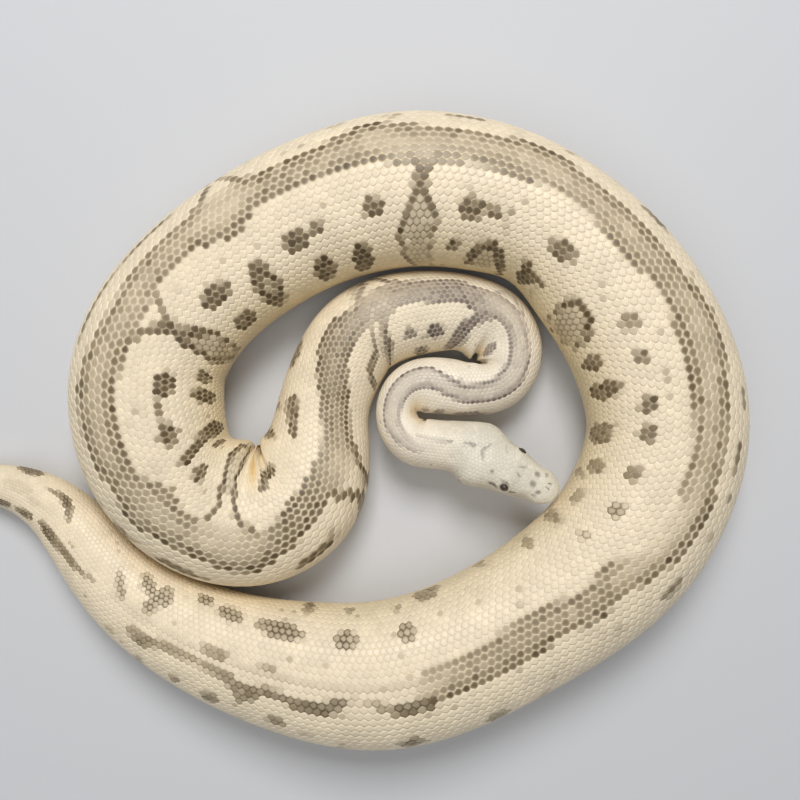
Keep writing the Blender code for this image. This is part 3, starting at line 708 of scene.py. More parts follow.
def darkness(distance, offset):
    """How dark the markings are at each place, for the scales and for the seams between them."""
    stripe, stripe_seam = stripe_darkness(distance, offset)
    bands = darkest(BANDS, band_darkness, distance, offset)
    blotches = darkest(BLOTCHES, blotch_darkness, distance, offset)
    hollow = darkest(HOLLOW_BLOTCHES, hollow_darkness, distance, offset)
    net = darkest(NETTED_BLOTCHES, blotch_darkness, distance, offset)
    dark = np.maximum(np.maximum(bands, blotches), hollow)
    core = np.maximum(np.maximum(stripe, dark * looked_up(BLOTCH_CORE, distance)), net * NET_CORE)
    seam = np.maximum(np.maximum(stripe_seam, dark * looked_up(BLOTCH_SEAM, distance)), net)
    return core, seam


# ------------------------------------------------------------------- the colours

CREAM = np.array((235, 218, 188)) / 255
FLANK_CREAM = np.array((232, 210, 165)) / 255
NECK_CREAM = np.array((233, 222, 203)) / 255
HEAD_CREAM = np.array((217, 209, 190)) / 255
BELLY_CREAM = np.array((238, 229, 208)) / 255
# Painted shade: the yellow-brown colour painted into the folds of tight bends, where shade falls in them.
FOLD_SHADE = np.array((214, 168, 92)) / 255
# Painted shade: a yellow-brown tint painted where shade falls in the folds and pits of tight bends: distance,
# offset, spreads, strength.
FOLD_SHADES = ((285, -39, 5, 9, .85), (38, -10, 12, 5, .3), (22, -12, 7, 4, .3), (110, 24, 8, 4, .25))
BROWN = np.array((84, 67, 40)) / 255
NECK_BROWN = np.array((92, 79, 72)) / 255


def linear(colour):
    """Screen colours as linear light."""
    colour = np.clip(colour, 0.0, 1.0)
    return np.where(colour <= 0.04045, colour / 12.92, ((colour + 0.055) / 1.055) ** 2.4)


def blended(first, second, share):
    """Two colours, mixed by a share for each place."""
    share = np.asarray(share)[..., None]
    return first * (1 - share) + second * share


def fold_shade(distance, offset):
    """How much of the painted yellow-brown shade of the folds each place takes."""
    share = np.zeros(np.shape(distance))
    for place, side, length, width, strength in FOLD_SHADES:
        reach = ((distance - place) / length) ** 2 + ((offset - side) / width) ** 2
        share = np.maximum(share, strength * np.exp(-reach))
    return share


def paint(distance, offset, half_girth, dark):
    """Linear colour of each place, from the cream of its region, the painted shade of the folds and its
    darkness.
    """
    reach = np.abs(offset) / half_girth
    cream = blended(CREAM, FLANK_CREAM, ease((reach - 0.3) / 0.4))
    cream = blended(cream, BELLY_CREAM, ease((reach - 0.8) / 0.15))
    cream = blended(cream, NECK_CREAM, 0.8 * ease((200 - distance) / 120) * ease((1.0 - reach) / 0.5))
    cream = blended(cream, HEAD_CREAM, ease((6 - distance) / 20) * ease((0.8 - reach) / 0.3))
    # The folds and pits of tight bends take a painted yellow-brown shade.
    cream = blended(cream, FOLD_SHADE, fold_shade(distance, offset))
    brown = blended(BROWN, NECK_BROWN, ease((230 - distance) / 100))
    return linear(blended(cream, brown, np.clip(dark, 0.0, 1.0)))


# ---------------------------------------------------------------- mesh helpers

def make_mesh(name, material, points, faces, colours=None, uvs=None, flip=False):
    """A smooth mesh object from points in mm, and the faces' corners and where each face starts."""
    loops, starts = faces
    mesh = bpy.data.meshes.new(name)
    mesh.vertices.add(len(points))
    mesh.vertices.foreach_set("co", (np.asarray(points) * MM).astype(np.float32).ravel())
    mesh.loops.add(len(loops))
    mesh.loops.foreach_set("vertex_index", np.asarray(loops, dtype=np.int32))
    mesh.polygons.add(len(starts))
    mesh.polygons.foreach_set("loop_start", np.asarray(starts, dtype=np.int32))
    if colours is not None:
        layer = mesh.color_attributes.new("paint", "FLOAT_COLOR", "POINT")
        rgba = np.concatenate((colours, np.ones((len(points), 1))), axis=1)
        layer.data.foreach_set("color", rgba.astype(np.float32).ravel())
    if uvs is not None:
        layer = mesh.uv_layers.new(name="OFBake")
        layer.data.foreach_set("uv", np.asarray(uvs, dtype=np.float32).ravel())
    mesh.update(calc_edges=True)
    mesh.validate()
    mesh.shade_smooth()
    if flip:
        mesh.flip_normals()
    mesh.materials.append(material)
    thing = bpy.data.objects.new(name, mesh)
    bpy.context.scene.collection.objects.link(thing)
    return thing


def varied(count, spread, middle=1.0):
    """Random factors round a middle one."""
    return middle + spread * rng.standard_normal(count)


def ring_faces(count, rings, tip):
    """Corners and starts of the faces between rings of points, closed by a fan if there is a tip."""
    side = np.arange(count)
    after = (side + 1) % count
    ring = count * np.arange(rings - 1)[:, None]
    loops = np.stack((ring + side, ring + after, ring + count + after, ring + count + side), axis=-1).ravel()
    starts = np.arange(0, len(loops), 4)
    if tip:
        last = (rings - 1) * count
        fan = np.stack((last + side, last + after, np.full(count, last + count)), axis=-1)
        starts = np.append(starts, len(loops) + 3 * side)
        loops = np.append(loops, fan)
    return loops, starts


def capped_faces(count, rings):
    """The same, closed at both ends by fans, to a tip and then a root."""
    loops, starts = ring_faces(count, rings, True)
    cap = [((side + 1) % count, side, rings * count + 1) for side in range(count)]
    cap_starts = len(loops) + 3 * np.arange(count)
    return np.concatenate((loops, np.ravel(cap))), np.concatenate((starts, cap_starts))


def repeated(loops, starts, points, count):
    """The faces of one template, repeated over many copies of its points."""
    all_loops = (loops[None, :] + np.arange(count)[:, None] * points).ravel()
    all_starts = (starts[None, :] + np.arange(count)[:, None] * len(loops)).ravel()
    return all_loops, all_starts


# ---------------------------------------------------------------- the materials

def set_inputs(node, values):
    """Sets plain values on a node's sockets."""
    for name, value in values.items():
        node.inputs[name].default_value = value


def new_look(name, values):
    """A material, its nodes and its shader with plain values set."""
    material = bpy.data.materials.new(name)
    material.use_nodes = True
    tree = material.node_tree
    shader = tree.nodes["Principled BSDF"]
    set_inputs(shader, values)
    return material, tree, shader


def new_node(tree, kind, values, sources, target=None):
    """A node with plain values, fed from sources by socket; gives what it makes, or feeds a target."""
    node = tree.nodes.new("ShaderNode" + kind)
    if kind == "VectorMath":
        node.operation = "SCALE"
    set_inputs(node, values)
    for name, source in sources.items():
        tree.links.new(source, node.inputs[name])
    if target:
        tree.links.new(node.outputs[0], target)
    return node.outputs[0]


def painted(tree):
    """The colour painted on the mesh."""
    node = tree.nodes.new("ShaderNodeAttribute")
    node.attribute_name = "paint"
    return node.outputs["Color"]


def place_on(tree):
    """Each point's place in the object, in metres."""
    return tree.nodes.new("ShaderNodeTexCoord").outputs["Object"]


def skin_material(name, roughness, grain):
    """Painted skin with a soft sheen, a faint mottle and a fine grain."""
    material, tree, shader = new_look(name, {"Specular IOR Level": 0.45})
    place = {"Vector": place_on(tree)}
    mottle = new_node(tree, "TexNoise", {"Scale": 90.0, "Detail": 4.0}, place)
    shade = new_node(tree, "MapRange", {"From Min": 0.3, "From Max": 0.7, "To Min": 0.93, "To Max": 1.05},
                     {"Value": mottle})
    new_node(tree, "VectorMath", {}, {"Vector": painted(tree), "Scale": shade}, shader.inputs["Base Color"])
    fine = new_node(tree, "TexNoise", {"Scale": 1400.0, "Detail": 2.0}, place)
    new_node(tree, "MapRange", {"To Min": roughness - 0.06, "To Max": roughness + 0.08},
             {"Value": fine}, shader.inputs["Roughness"])
    new_node(tree, "Bump", {"Strength": grain, "Distance": 0.0001}, {"Height": fine}, shader.inputs["Normal"])
    return material


def eye_material():
    """The painted, polished surface of an eye."""
    material, tree, shader = new_look(
        "eye_look", {"Roughness": 0.12, "Coat Weight": 0.8, "Coat Roughness": 0.03})
    tree.links.new(painted(tree), shader.inputs["Base Color"])
    return material


def horn_material():
    """Pale horn that darkens in streaks."""
    material, tree, shader = new_look("spur_horn_look", {"Roughness": 0.3})
    streaks = new_node(tree, "TexNoise", {"Scale": 900.0}, {"Vector": place_on(tree)})
    new_node(tree, "ValToRGB", {}, {"Fac": streaks}, shader.inputs["Base Color"])
    ramp = tree.nodes["Color Ramp"].color_ramp
    ramp.elements[0].color = (0.20, 0.13, 0.07, 1.0)
    ramp.elements[1].color = (0.62, 0.50, 0.34, 1.0)
    return material


# ---------------------------------------------------------------- the pieces

FLESH_NODES = (
    "head", "lower_jaw", "neck_front", "neck_rear", "trunk_1", "trunk_2", "trunk_3", "trunk_4",
    "trunk_5", "trunk_6", "trunk_7", "trunk_8", "tail",
)
UV_STRIPS = 4
UV_WIDE = 0.96              # how much of a strip's room on the unwrap it takes, across
UV_SIDE = 0.02              # the bare margin at each side of it
UV_LONG = 0.98              # the same along the strip
UV_END = 0.01
PATCH = 0.78                # a scale's size on the unwrap, of its cell's
COAT_ENDS = (0, 150, 300, 420, 540, 660, 780, 900, 1030, 1168)


def with_tips(grid):
    """A grid's rows as one list, and the means of the first and the last at its end."""
    return np.concatenate((grid.reshape(-1, 3), [grid[0].mean(axis=0), grid[-1].mean(axis=0)]))


def make_skin(surface, material):
    """The one skin over the head, body and tail, closed at the snout and the tail's tip."""
    head_rows = surface.distance[surface.distance <= 0]
    trunk = np.arange(SKIN_STEP, surface.length - TIP_GAP, SKIN_STEP)
    distance = np.concatenate((head_rows, trunk, surface.distance[-1:]))
    shares = np.linspace(-1.0, 1.0, COLUMNS + 1)[:-1]
    rows = len(distance)
    grid = surface.at(distance[:, None], shares)
    half_girth = surface.half_girth(distance[:, None], shares)
    offset = shares * half_girth
    places = np.broadcast_to(distance[:, None], offset.shape)
    _, seam = darkness(places, offset)
    colours = paint(places, offset, half_girth, seam)
    loops, starts = ring_faces(COLUMNS, rows, False)
    fans = []
    for side in range(COLUMNS):
        after = (side + 1) % COLUMNS
        fans.append((after, side, rows * COLUMNS))
        last = (rows - 1) * COLUMNS
        fans.append((last + side, last + after, rows * COLUMNS + 1))
    fan_starts = len(loops) + 3 * np.arange(len(fans))
    faces = np.concatenate((loops, np.ravel(fans))), np.concatenate((starts, fan_starts))
    return make_mesh("skin", material, with_tips(grid), faces, with_tips(colours),
                     skin_map(distance, rows), flip=True)


def skin_map(distance, rows):
    """The skin unwrapped to a grid, cut across into strips that lie beside each other."""
    total = distance[-1] - distance[0]
    share = (distance - distance[0]) / total
    wide = UV_WIDE / COLUMNS / UV_STRIPS
    uvs = []
    for row in range(rows - 1):
        strip = min(int((share[row] + share[row + 1]) / 2 * UV_STRIPS), UV_STRIPS - 1)
        near, far = np.clip(share[row:row + 2] * UV_STRIPS - strip, 0, 1) * UV_LONG + UV_END
        sides = (np.arange(COLUMNS) / COLUMNS * UV_WIDE + UV_SIDE + strip) / UV_STRIPS
        corners = [np.stack((np.full(COLUMNS, along), sides + across), axis=1)
                   for along, across in ((near, 0.0), (near, wide), (far, wide), (far, 0.0))]
        uvs.append(np.stack(corners, axis=1).reshape(-1, 2))
    fans = []
    for side in range(COLUMNS):
        low = (side / COLUMNS * UV_WIDE + UV_SIDE) / UV_STRIPS
        fans += [(UV_END, low + wide), (UV_END, low), (0.2 * UV_END, low + wide / 2)]
        high = low + (UV_STRIPS - 1) / UV_STRIPS
        end = 1 - UV_END
        fans += [(end, high), (end, high + wide), (1 - 0.2 * UV_END, high + wide / 2)]
    return np.concatenate(uvs + [np.array(fans)])


def scale_template():
    """One scale's points in scale lengths and row widths, ring by ring, with its middle last."""
    mirrored = [(along, -across) for along, across in reversed(SCALE_RIM[1:])]
    rim = np.array(list(SCALE_RIM) + mirrored)
    rings = [rim * share for share in SCALE_RINGS]
    points = np.concatenate(rings + [np.zeros((1, 2))])
    ring = np.append(np.repeat(np.arange(len(SCALE_RINGS)), len(rim)), len(SCALE_RINGS))
    return points, ring, len(rim)


def scale_points(surface, lattice, column, row, local, ring):
    """The points of many scales, raised most at their middles and their free ends."""
    size = varied(len(column), SIZE_SPREAD)[:, None]
    distance = lattice.distance_of(column[:, None] + local[None, :, 0] * size)
    share = lattice.share_of(row[:, None] + local[None, :, 1] * size, distance)
    root = lattice.distance_of(column)
    stretch = local_length(surface, lattice, column, lattice.share_of(row, root))
    rise = np.minimum(SCALE_RISE * lattice.row_width(root), SCALE_MOST * surface.depth(root))
    rise = rise * (CREASED_RISE + (1 - CREASED_RISE) * np.clip(stretch, 0.0, 1.0))
    tilt = 0.5 + 0.5 * ease((local[:, 0] + 0.45) / 0.75)
    profile = np.array(SCALE_PROFILE)[ring] * np.where(ring == 0, 1.0, tilt)
    points = surface.at(distance, share, rise[:, None] * profile[None, :])
    points[..., 2] = np.maximum(points[..., 2], 0.0)
    return points


def scale_colours(root, offset, half_girth, ring):
    """The colours of the points of many scales."""
    core, seam = darkness(root, offset)
    core = np.maximum(core, np.where(rng.random(len(root)) < SPECK_SHARE, SPECK_TONE, 0.0))
    core = core * varied(len(root), CORE_SPREAD, CORE_MIDDLE)
    seam = seam * varied(len(root), SEAM_SPREAD)
    edge = np.array(SCALE_EDGES)[ring]
    dark = core[:, None] * (1 - edge) + seam[:, None] * edge
    colours = paint(root[:, None], offset[:, None], half_girth[:, None], dark)
    return colours * varied(len(root), TONE_SPREAD)[:, None, None]


def make_scales(name, surface, lattice, start, end, material):
    """The overlapping scales of one length of the body."""
    column, row = lattice.roots(start, end)
    local, ring, count = scale_template()
    points = scale_points(surface, lattice, column, row, local, ring)
    root = lattice.distance_of(column)
    share = lattice.share_of(row, root)
    half_girth = surface.half_girth(root, share)
    colours = scale_colours(root, share * half_girth, half_girth, ring)
    faces = repeated(*ring_faces(count, len(SCALE_RINGS), True), len(local), len(root))
    uvs = scale_map(column, row, local, lattice.column_of(start), lattice.column_of(end))
    return make_mesh(name, material, points.reshape(-1, 3), faces,
                     colours.reshape(-1, 3), uvs.reshape(-1, 2)[faces[0]])


def local_length(surface, lattice, column, share):
    """How long a scale's place is on the bent body, of its plain length."""
    ahead = lattice.distance_of(column + 0.5)
    behind = lattice.distance_of(column - 0.5)
    gap = np.linalg.norm(surface.at(ahead, share) - surface.at(behind, share), axis=1)
    return gap / np.maximum(ahead - behind, 1e-6)


def scale_map(column, row, local, first, last):
    """Each scale as a patch in its own cell of the skin's unwrap."""
    along = (column[:, None] + local[None, :, 0] * PATCH - first + 1) / (last - first + 2)
    across = (row[:, None] + local[None, :, 1] * PATCH + MOST_ROWS + 1) / (2 * MOST_ROWS + 2)
    return np.stack((along, across), axis=-1)


SCUTE_ACROSS = 13
SCUTE_ALONG = ((-0.50, -0.10), (-0.36, 0.45), (-0.10, 0.85), (0.25, 1), (0.47, 0.95), (0.54, 0.70),
               (0.56, -0.10))
SCUTE_OVERLAP = 0.7         # how far it goes under the last row of scales, of the row's width
SCUTE_EDGE = 0.16           # how far in a scute's rounded edge reaches, of half its width
SCUTE_SINK = 0.2            # how deep its sides go into the skin, of its height
SCUTE_TONES = 0.02          # how much the scutes differ in tone
SCUTE_GAP = 0.12            # between scutes on the unwrap, of their length
SCUTE_HALF = 0.4704         # half a scute's width on the unwrap


def scute_places(length):
    """Middle, length and both sides of each scute of the belly, and of the pairs under the tail."""
    belly = [(place, SCUTE_LENGTH, -1.0, 1.0) for place in np.arange(4.0, VENT, SCUTE_LENGTH)]
    tail = np.arange(VENT + SUBCAUDAL_LENGTH, length - 6.0, SUBCAUDAL_LENGTH)
    pairs = [(place, SUBCAUDAL_LENGTH, side - 1.0, side) for place in tail for side in (0.0, 1.0)]
    return np.array(belly + pairs)


def make_scutes(surface, lattice, material):
    """The broad scutes across the belly, and the pairs under the tail."""
    plates = scute_places(surface.length)
    place, length, left, right = plates.T[:, :, None, None]
    along, profile = np.array(SCUTE_ALONG).T[:, :, None]
    across = np.linspace(0.0, 1.0, SCUTE_ACROSS)
    distance, side = np.broadcast_arrays(place + along * length, left + (right - left) * across)
    reach = BELLY_SHARE + SCUTE_OVERLAP * lattice.row_width(distance) / surface.half_girth(distance, side)
    edge = ease((1.0 - np.abs(2 * across - 1)) / SCUTE_EDGE)
    edge = np.where(edge > 0, edge, -SCUTE_SINK)
    height = surface.depth(distance) * profile * np.where(profile > 0, edge, 1.0)
    points = surface.at(distance, 1.0 + side * reach, height)
    points[..., 2] = np.maximum(points[..., 2], 0.0)
    cells = np.arange((len(along) - 1) * SCUTE_ACROSS).reshape(-1, SCUTE_ACROSS)[:, :-1].ravel()
    corners = cells[:, None] + np.array((0, 1, SCUTE_ACROSS + 1, SCUTE_ACROSS))
    faces = repeated(corners.ravel(), 4 * np.arange(len(cells)), side[0].size, len(plates))
    tones = paint(plates[:, 0], np.ones(len(plates)), 1.0, np.zeros(len(plates)))
    tones = tones * varied(len(plates), SCUTE_TONES)[:, None]
    patch = (distance - along * length * SCUTE_GAP) / surface.length
    uvs = np.stack((patch, 0.5 + SCUTE_HALF * side), axis=-1)
    return make_mesh("belly_scutes", material, points.reshape(-1, 3), faces,
                     np.repeat(tones, side[0].size, axis=0), uvs.reshape(-1, 2)[faces[0]], flip=True)


# ---------------------------------------------------------------- the head's plates

# Big plates: forward and out from the head's root, radius. Those off the middle are on both sides.
CROWN_PLATES = (
    (38.5, 1.25, 1.3), (35.9, 1.3, 1.35), (36.5, 4, 1.4), (31.2, 5.7, 1.3), (32.6, 1.8, 1.9),
    (28.9, 2.3, 2.05), (28.5, 5.6, 1.35), (25.1, 1.5, 1.6), (25.3, 4.3, 1.3), (21.9, 1.35, 1.45),
    (21.7, 4.6, 1.6), (18.3, 5.3, 1.7), (18.7, 1.5, 1.4), (15.3, 4.4, 1.3), (15.8, 1.4, 1.2),
)
CHIN_PLATES = (
    (38.2, 1.2, 1.2), (35.6, 1.5, 1.5), (32.4, 1.6, 1.6), (29, 1.6, 1.6), (35.4, 4.2, 1.2),
    (32.6, 4.6, 1.3), (29.6, 4.7, 1.3),
)
SNOUT_PLATES = ((0.4, 1.8), (-2.6, 1.1))        # up from the root, radius
SNOUT_START = 30.0                              # forward, where the lines to them start
UPPER_LIP = (39.3, -2.65, 12, 1.5, 1.42)        # first plate, step, count, height over the mouth, radius
LOWER_LIP = (38, -2.3, 14, -1.55, 1.2)
NOSTRIL = (33.6, 4.6, 0.8)
EYE_RING = (11, 3.1, 0.82)                      # count, distance from the eye, radius
EYE_OPENING = 2.35
FILL_START = -49.0          # where the small scales start, behind the snout
FILL_JITTER = 0.10          # how far they are off the lattice
FILL_RADIUS = 0.54          # of the row's width
CROWDING = 0.74             # least gap between seeds, of their radii's sum
CELL_SIDES = 14             # of a cell that has no neighbours
CELL_REACH = 1.4            # how far it goes out, of its radius
NEIGHBOUR_REACH = 2.5       # how far apart neighbours may be, beyond their radii's sum
PLATE_GAP = 0.035
PLATE_RINGS = (1, 0.90, 0.66, 0.34)
PLATE_PROFILE = (-0.3, 0.62, 0.95, 1, 1)
PLATE_RISE = 0.10           # height of the smallest
PLATE_GROWTH = 0.03         # more height, for each millimetre of radius
PLATE_TONES = 0.03          # how much they differ in tone
PLATE_SHADE = 0.07          # how much darker their edges are
UNWRAP_GIRTH = 124.0        # the girth that the head's unwrap takes
PLATE_EDGES = (1, 0.5, 0, 0, 0)
LONGEST_EDGE = 0.9


def cut_polygon(polygon, normal, limit):
    """The part of a polygon that lies on one side of a line."""
    kept = []
    for start, end in zip(polygon, np.roll(polygon, -1, axis=0)):
        start_gap, end_gap = limit - start @ normal, limit - end @ normal
        if start_gap >= 0:
            kept.append(start)
        if (start_gap >= 0) != (end_gap >= 0):
            kept.append(start + (end - start) * start_gap / (start_gap - end_gap))
    return np.array(kept)


def softened(polygon):
    """A polygon with its corners cut and its long edges divided."""
    points = []
    for start, end in zip(polygon, np.roll(polygon, -1, axis=0)):
        steps = max(1, math.ceil(0.6 * np.linalg.norm(end - start) / LONGEST_EDGE))
        for step in range(steps + 1):
            points.append(start + (end - start) * (0.2 + 0.6 * step / steps))
    return np.array(points)


class HeadPlates:
    """Plates and small scales that tile the head, each in the cell round its own seed."""

    def __init__(self, surface, head, lattice):
        self.surface = surface
        self.head = head
        rows = int(np.searchsorted(surface.distance, 14.0))
        self.grid = surface.points[:rows]
        wide = COLUMNS + 1
        faces = [(row * wide + column, row * wide + column + 1,
                  (row + 1) * wide + column + 1, (row + 1) * wide + column)
                 for row in range(rows - 1) for column in range(COLUMNS)]
        self.tree = BVHTree.FromPolygons(self.grid.reshape(-1, 3).tolist(), faces)
        steps = np.linalg.norm(np.diff(self.grid, axis=0), axis=2).mean(axis=1)
        self.arc = np.concatenate(((0.0,), np.cumsum(steps)))
        self.points, self.radii, self.shown = [], [], []
        self.place_seeds(lattice)

    def nearest(self, point):
        """The skin's nearest point, its outward normal and its place in the grid."""
        spot, _, index, _ = self.tree.find_nearest(Vector(point))
        row, column = divmod(index, COLUMNS)
        return np.array(spot), self.surface.normals[row, column], row, column

    def seed(self, point, radius, shown=True):
        """Adds a seed at the skin's nearest point."""
        self.points.append(self.nearest(point)[0])
        self.radii.append(radius)
        self.shown.append(shown)

    def cast(self, start, direction, radius, shown=True):
        """Adds a seed where a line from inside the head meets the skin."""
        spot = self.tree.ray_cast(Vector(start), Vector(direction))[0]
        if spot is not None:
            self.seed(spot, radius, shown)

    def place_seeds(self, lattice):
        """The eyes and nostrils, which stay bare, the big plates, then small scales between."""
        forward, left, up = self.head.axes
        point = self.head.point
        for side in (-1, 1):
            eye = self.nearest(point(EYE_PLACE[0], side * (EYE_PLACE[1] + 2.0), EYE_PLACE[2] + 0.3))[0]
            self.seed(eye, EYE_OPENING, False)
            outward = unit(left * side + up * 0.25)
            count, reach, radius = EYE_RING
            first, second = forward, unit(np.cross(outward, forward))
            for step in range(count):
                turn = 2 * math.pi * step / count
                self.seed(eye + (first * math.cos(turn) + second * math.sin(turn)) * reach, radius)
            self.cast(point(NOSTRIL[0], side * NOSTRIL[1], 0.0), up, NOSTRIL[2], False)
            for plates, start, aim in ((CROWN_PLATES, 0.0, up), (CHIN_PLATES, -1.0, -up)):
                for place, out, radius in plates:
                    self.cast(point(place, side * out, start), aim, radius)
            for first, step, count, rise, radius in (UPPER_LIP, LOWER_LIP):
                for index in range(count):
                    place = first + step * index
                    level = looked_up(MOUTH_LINE, place) + rise
                    self.cast(point(place, 0.0, level), left * side, radius)
        for rise, radius in SNOUT_PLATES:
            self.cast(point(SNOUT_START, 0.0, rise), forward, radius)
        self.fill(lattice)

    def fill(self, lattice):
        """Small scales on the body's own lattice, wherever no plate is near."""
        column, row = lattice.roots(FILL_START, 6.0, 1.0)
        distance = lattice.distance_of(column)
        width = lattice.row_width(distance)
        jitter = FILL_JITTER * rng.standard_normal((2, len(column))) * (distance < -4.0)
        distance = distance + jitter[0] * width
        share = lattice.share_of(row + jitter[1], distance)
        spots = self.surface.at(distance, share)
        for spot, radius, place in zip(spots, FILL_RADIUS * width, distance):
            gaps = np.linalg.norm(np.array(self.points) - spot, axis=1)
            if np.all(gaps > CROWDING * (np.array(self.radii) + radius)):
                self.seed(spot, radius, place < 0.0)

    def cell(self, index, points, radii):
        """The outline of one seed's cell in its tangent plane, with the plane's directions."""
        spot, normal, row, column = self.nearest(points[index])
        around = unit(self.grid[row, column + 1] - self.grid[row, column])
        tailward = unit(np.cross(around, normal))
        gaps = points - spot
        near = np.flatnonzero(np.linalg.norm(gaps, axis=1) < radii + radii[index] + NEIGHBOUR_REACH)
        turns = turns_round(CELL_SIDES)
        polygon = np.stack((np.cos(turns), np.sin(turns)), axis=1) * radii[index] * CELL_REACH
        for other in near:
            if other == index:
                continue
            flat = np.array((gaps[other] @ tailward, gaps[other] @ around))
            reach = np.linalg.norm(flat)
            if reach < 0.2:
                continue
            limit = (reach ** 2 + radii[index] ** 2 - radii[other] ** 2) / (2 * reach)
            polygon = cut_polygon(polygon, flat / reach, limit - PLATE_GAP)
            if len(polygon) < 3:
                break
        return spot, tailward, around, row, column, polygon

    def plate(self, cell, outline, radius):
        """Each point of one plate, its place, offset, edge and tone, and its place on the unwrap."""
        spot, tailward, around, row, column, polygon = cell
        middle = polygon.mean(axis=0)
        distance = self.surface.distance[row]
        share = (column + 0.5) / COLUMNS * 2 - 1
        offset = share * float(self.surface.half_girth(distance, share))
        rise = min(PLATE_RISE + PLATE_GROWTH * radius, 0.9 * float(self.surface.depth(distance)))
        tone = varied(None, PLATE_TONES)
        rings = [middle + (outline - middle) * size for size in PLATE_RINGS] + [middle[None]]
        for ring, height, edge in zip(rings, PLATE_PROFILE, PLATE_EDGES):
            for along, across in ring:
                place, normal, _, _ = self.nearest(spot + tailward * along + around * across)
                yield (*(place + normal * rise * height), distance + along, offset + across, edge, tone,
                       (self.arc[row] + 0.5 * along + 3.0) / (self.arc[-1] + 6.0),
                       0.5 + (offset + 0.5 * across) / UNWRAP_GIRTH)

    def build(self, material):
        """One mesh of all the plates."""
        points, radii = np.array(self.points), np.array(self.radii)
        rows, loops, starts = [], [], []
        for index in np.flatnonzero(self.shown):
            cell = self.cell(index, points, radii)
            if len(cell[-1]) < 3:
                continue
            outline = softened(cell[-1])
            ring_loops, ring_starts = ring_faces(len(outline), len(PLATE_RINGS), True)
            starts.extend(ring_starts + len(loops))
            loops.extend(ring_loops + len(rows))
            rows.extend(self.plate(cell, outline, radii[index]))
        rows = np.array(rows)
        places, offsets, edges, tones = rows[:, 3:7].T
        core, seam = darkness(places, offsets)
        girth = np.interp(places, self.surface.distance, self.surface.right_girth)
        colours = paint(places, offsets, girth, core * (1 - edges) + seam * edges)
        colours = colours * tones[:, None] * (1 - PLATE_SHADE * edges)[:, None]
        return make_mesh("scales_head", material, rows[:, :3], (loops, starts), colours, rows[loops, 7:])


# ---------------------------------------------------------------- the eyes and spurs

EYE_RINGS = 44
EYE_SIDES = 56
PUPIL = (0.13, 0.62)        # half width and half height, of the eye's radius
IRIS_REACH = 0.86
EYE_COLOURS = {
    "pupil": (0.004, 0.003, 0.003), "iris": (0.024, 0.013, 0.007), "upper": (0.050, 0.034, 0.020),
    "rim": (0.012, 0.008, 0.006),
}


def node_middle(name):
    """The middle of a CAD node's box."""
    return np.mean(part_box(name), axis=0) / MM


def make_eye(name, side, head, material):
    """An eyeball with a brown iris, paler above, round an upright slit."""
    middle = node_middle(name)
    forward, left, up = head.axes
    outward = unit(left * side + up * 0.22 + forward * 0.10)
    ahead = unit(forward - outward * (forward @ outward))
    above = np.cross(outward, ahead) * side
    above = above if above @ up > 0 else -above
    polar = np.linspace(0.0, math.pi, EYE_RINGS + 2)[1:-1, None]
    turns = turns_round(EYE_SIDES)[None, :]
    across = np.append(np.sin(polar) * np.cos(turns), (0, 0))
    rise = np.append(np.sin(polar) * np.sin(turns), (0, 0))
    out = np.append(np.cos(polar) + 0 * turns, (-1, 1))
    points = middle + EYE_RADIUS * (across[:, None] * ahead + rise[:, None] * above
                                    + out[:, None] * outward)
    radius = np.hypot(across, rise)
    streaks = 0.85 + 0.3 * rng.random(len(radius))
    upper = ease((rise - 0.12) / 0.35)
    colours = blended(np.array(EYE_COLOURS["iris"]), np.array(EYE_COLOURS["upper"]), upper)
    colours = colours * streaks[:, None]
    rim = ease((radius - IRIS_REACH) / 0.08)
    rim = np.where(out > 0, rim, 1.0)
    colours = blended(colours, np.array(EYE_COLOURS["rim"]), rim)
    slit = ease((1.15 - np.hypot(across / PUPIL[0], rise / PUPIL[1])) / 0.3)
    slit = np.where(out > 0, slit, 0.0)
    colours = blended(colours, np.array(EYE_COLOURS["pupil"]), slit)
    faces = capped_faces(EYE_SIDES, EYE_RINGS)
    return make_mesh(name + "_ball", material, points, faces, colours, flip=side < 0)


SPUR_LENGTH = 4.0
SPUR_RADIUS = 1.0
SPUR_RINGS = 14
SPUR_SIDES = 16


def make_spur(name, side, body, material):
    """A small curved claw beside the vent."""
    tailward, right, up = (axis[0] for axis in body.axes(np.array((VENT,))))
    middle = node_middle(name)
    direction = unit(tailward + right * side * 0.25)
    root = middle - direction * (SPUR_LENGTH / 2) - right * side * 0.9
    share = np.linspace(0.0, 1.0, SPUR_RINGS)[:, None, None]
    turns = turns_round(SPUR_SIDES)[None, :, None]
    radius = SPUR_RADIUS * (1 - 0.92 * share ** 1.4) * np.minimum(1.0, 0.7 + 3 * share)
    line = root + direction * SPUR_LENGTH * share + right * side * 1.1 * np.sin(share * 2.2)
    points = line + radius * (np.cos(turns) * np.cross(direction, up) + np.sin(turns) * up)
    points = np.concatenate((points.reshape(-1, 3), [line[-1, 0] + direction * 0.1, line[0, 0]]))
    return make_mesh(name + "_claw", material, points, capped_faces(SPUR_SIDES, SPUR_RINGS), flip=True)


# ---------------------------------------------------------------- the studio

CAMERA_PLACE = (40, 13.5, 442)
CAMERA_LENS = 40.5          # over a sensor 36 mm wide


def make_light(name, place, aim, size, power):
    """A square area light that faces a point."""
    light = bpy.data.lights.new(name, "AREA")
    light.size = size
    light.energy = power
    thing = bpy.data.objects.new(name, light)
    thing.location = place
    thing.rotation_euler = (Vector(aim) - Vector(place)).to_track_quat("-Z", "Y").to_euler()
    bpy.context.scene.collection.objects.link(thing)


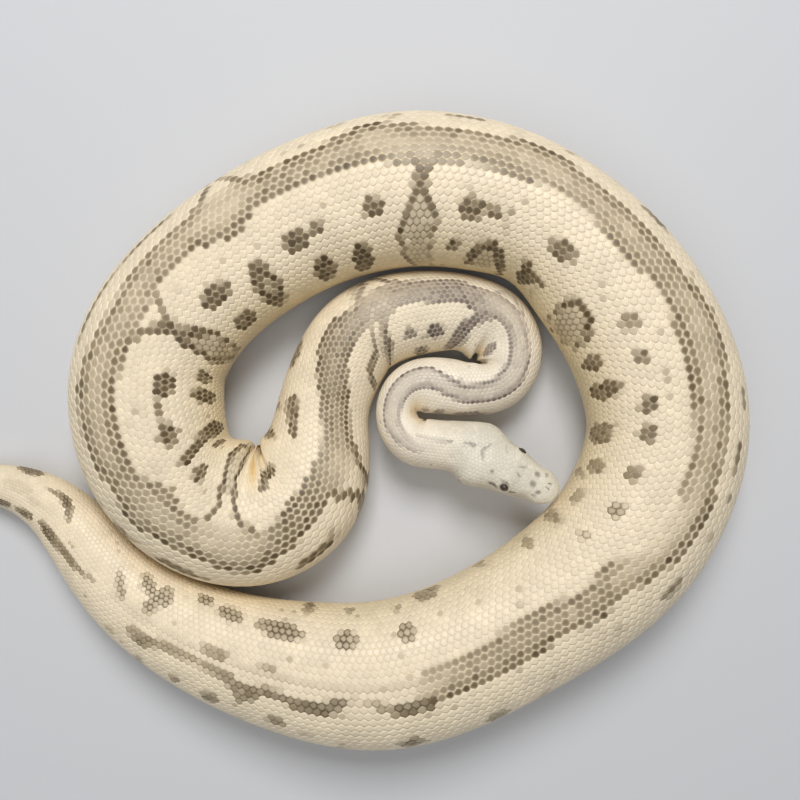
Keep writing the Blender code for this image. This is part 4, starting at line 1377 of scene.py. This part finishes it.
def make_studio():
    """A pale floor, soft light from above and the far side, and the camera looking straight down."""
    mesh = bpy.data.meshes.new("floor")
    mesh.from_pydata([(-3, -3, 0), (3, -3, 0), (3, 3, 0), (-3, 3, 0)], [], [(0, 1, 2, 3)])
    floor = bpy.data.objects.new("floor", mesh)
    floor.location.z = -0.0002
    bpy.context.scene.collection.objects.link(floor)
    paper = bpy.data.materials.new("floor_paper")
    paper.use_nodes = True
    shader = paper.node_tree.nodes["Principled BSDF"]
    shader.inputs["Base Color"].default_value = (0.62, 0.62, 0.63, 1.0)
    shader.inputs["Roughness"].default_value = 0.8
    mesh.materials.append(paper)
    make_light("key", (0.05, 0.75, 1.15), (0.0, 0.0, 0.0), 0.55, 13.6)
    make_light("fill", (-0.3, -0.5, 1.5), (0.0, 0.0, 0.0), 1.2, 6.0)
    world = bpy.data.worlds.new("studio")
    world.use_nodes = True
    world.node_tree.nodes["Background"].inputs["Color"].default_value = (0.9, 0.95, 1.0, 1.0)
    world.node_tree.nodes["Background"].inputs["Strength"].default_value = 0.24
    bpy.context.scene.world = world
    bpy.context.scene.view_settings.view_transform = "Standard"
    camera = bpy.data.objects.new("camera", bpy.data.cameras.new("camera"))
    camera.data.lens = CAMERA_LENS
    camera.data.sensor_width = 36.0
    camera.data.clip_start = 0.01
    camera.location = Vector(CAMERA_PLACE) * MM
    bpy.context.scene.collection.objects.link(camera)
    bpy.context.scene.camera = camera


def main():
    """Build the snake, the floor, the lights and the camera."""
    body = Body()
    head = Head(body)
    surface = Surface(body, head)
    lattice = Lattice(surface)
    skin_look = skin_material("skin_look", 0.5, 0.15)
    scale_look = skin_material("scale_look", 0.4, 0.2)
    skin = make_skin(surface, skin_look)
    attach(skin, "root")
    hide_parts(*FLESH_NODES)
    pieces = [make_scutes(surface, lattice, scale_look)]
    for index, (start, end) in enumerate(zip(COAT_ENDS, COAT_ENDS[1:]), 1):
        pieces.append(make_scales(f"scales_{index}", surface, lattice, start, end, scale_look))
    pieces.append(HeadPlates(surface, head, lattice).build(scale_look))
    for piece in pieces:
        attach(piece, "root")
    eye_look = eye_material()
    horn_look = horn_material()
    for word, side in (("left", 1), ("right", -1)):
        eye = make_eye("eye_" + word, side, head, eye_look)
        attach(eye, "root")
        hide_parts("eye_" + word)
        spur = make_spur("spur_" + word, -side, body, horn_look)
        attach(spur, "root")
        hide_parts("spur_" + word)
    make_studio()


main()
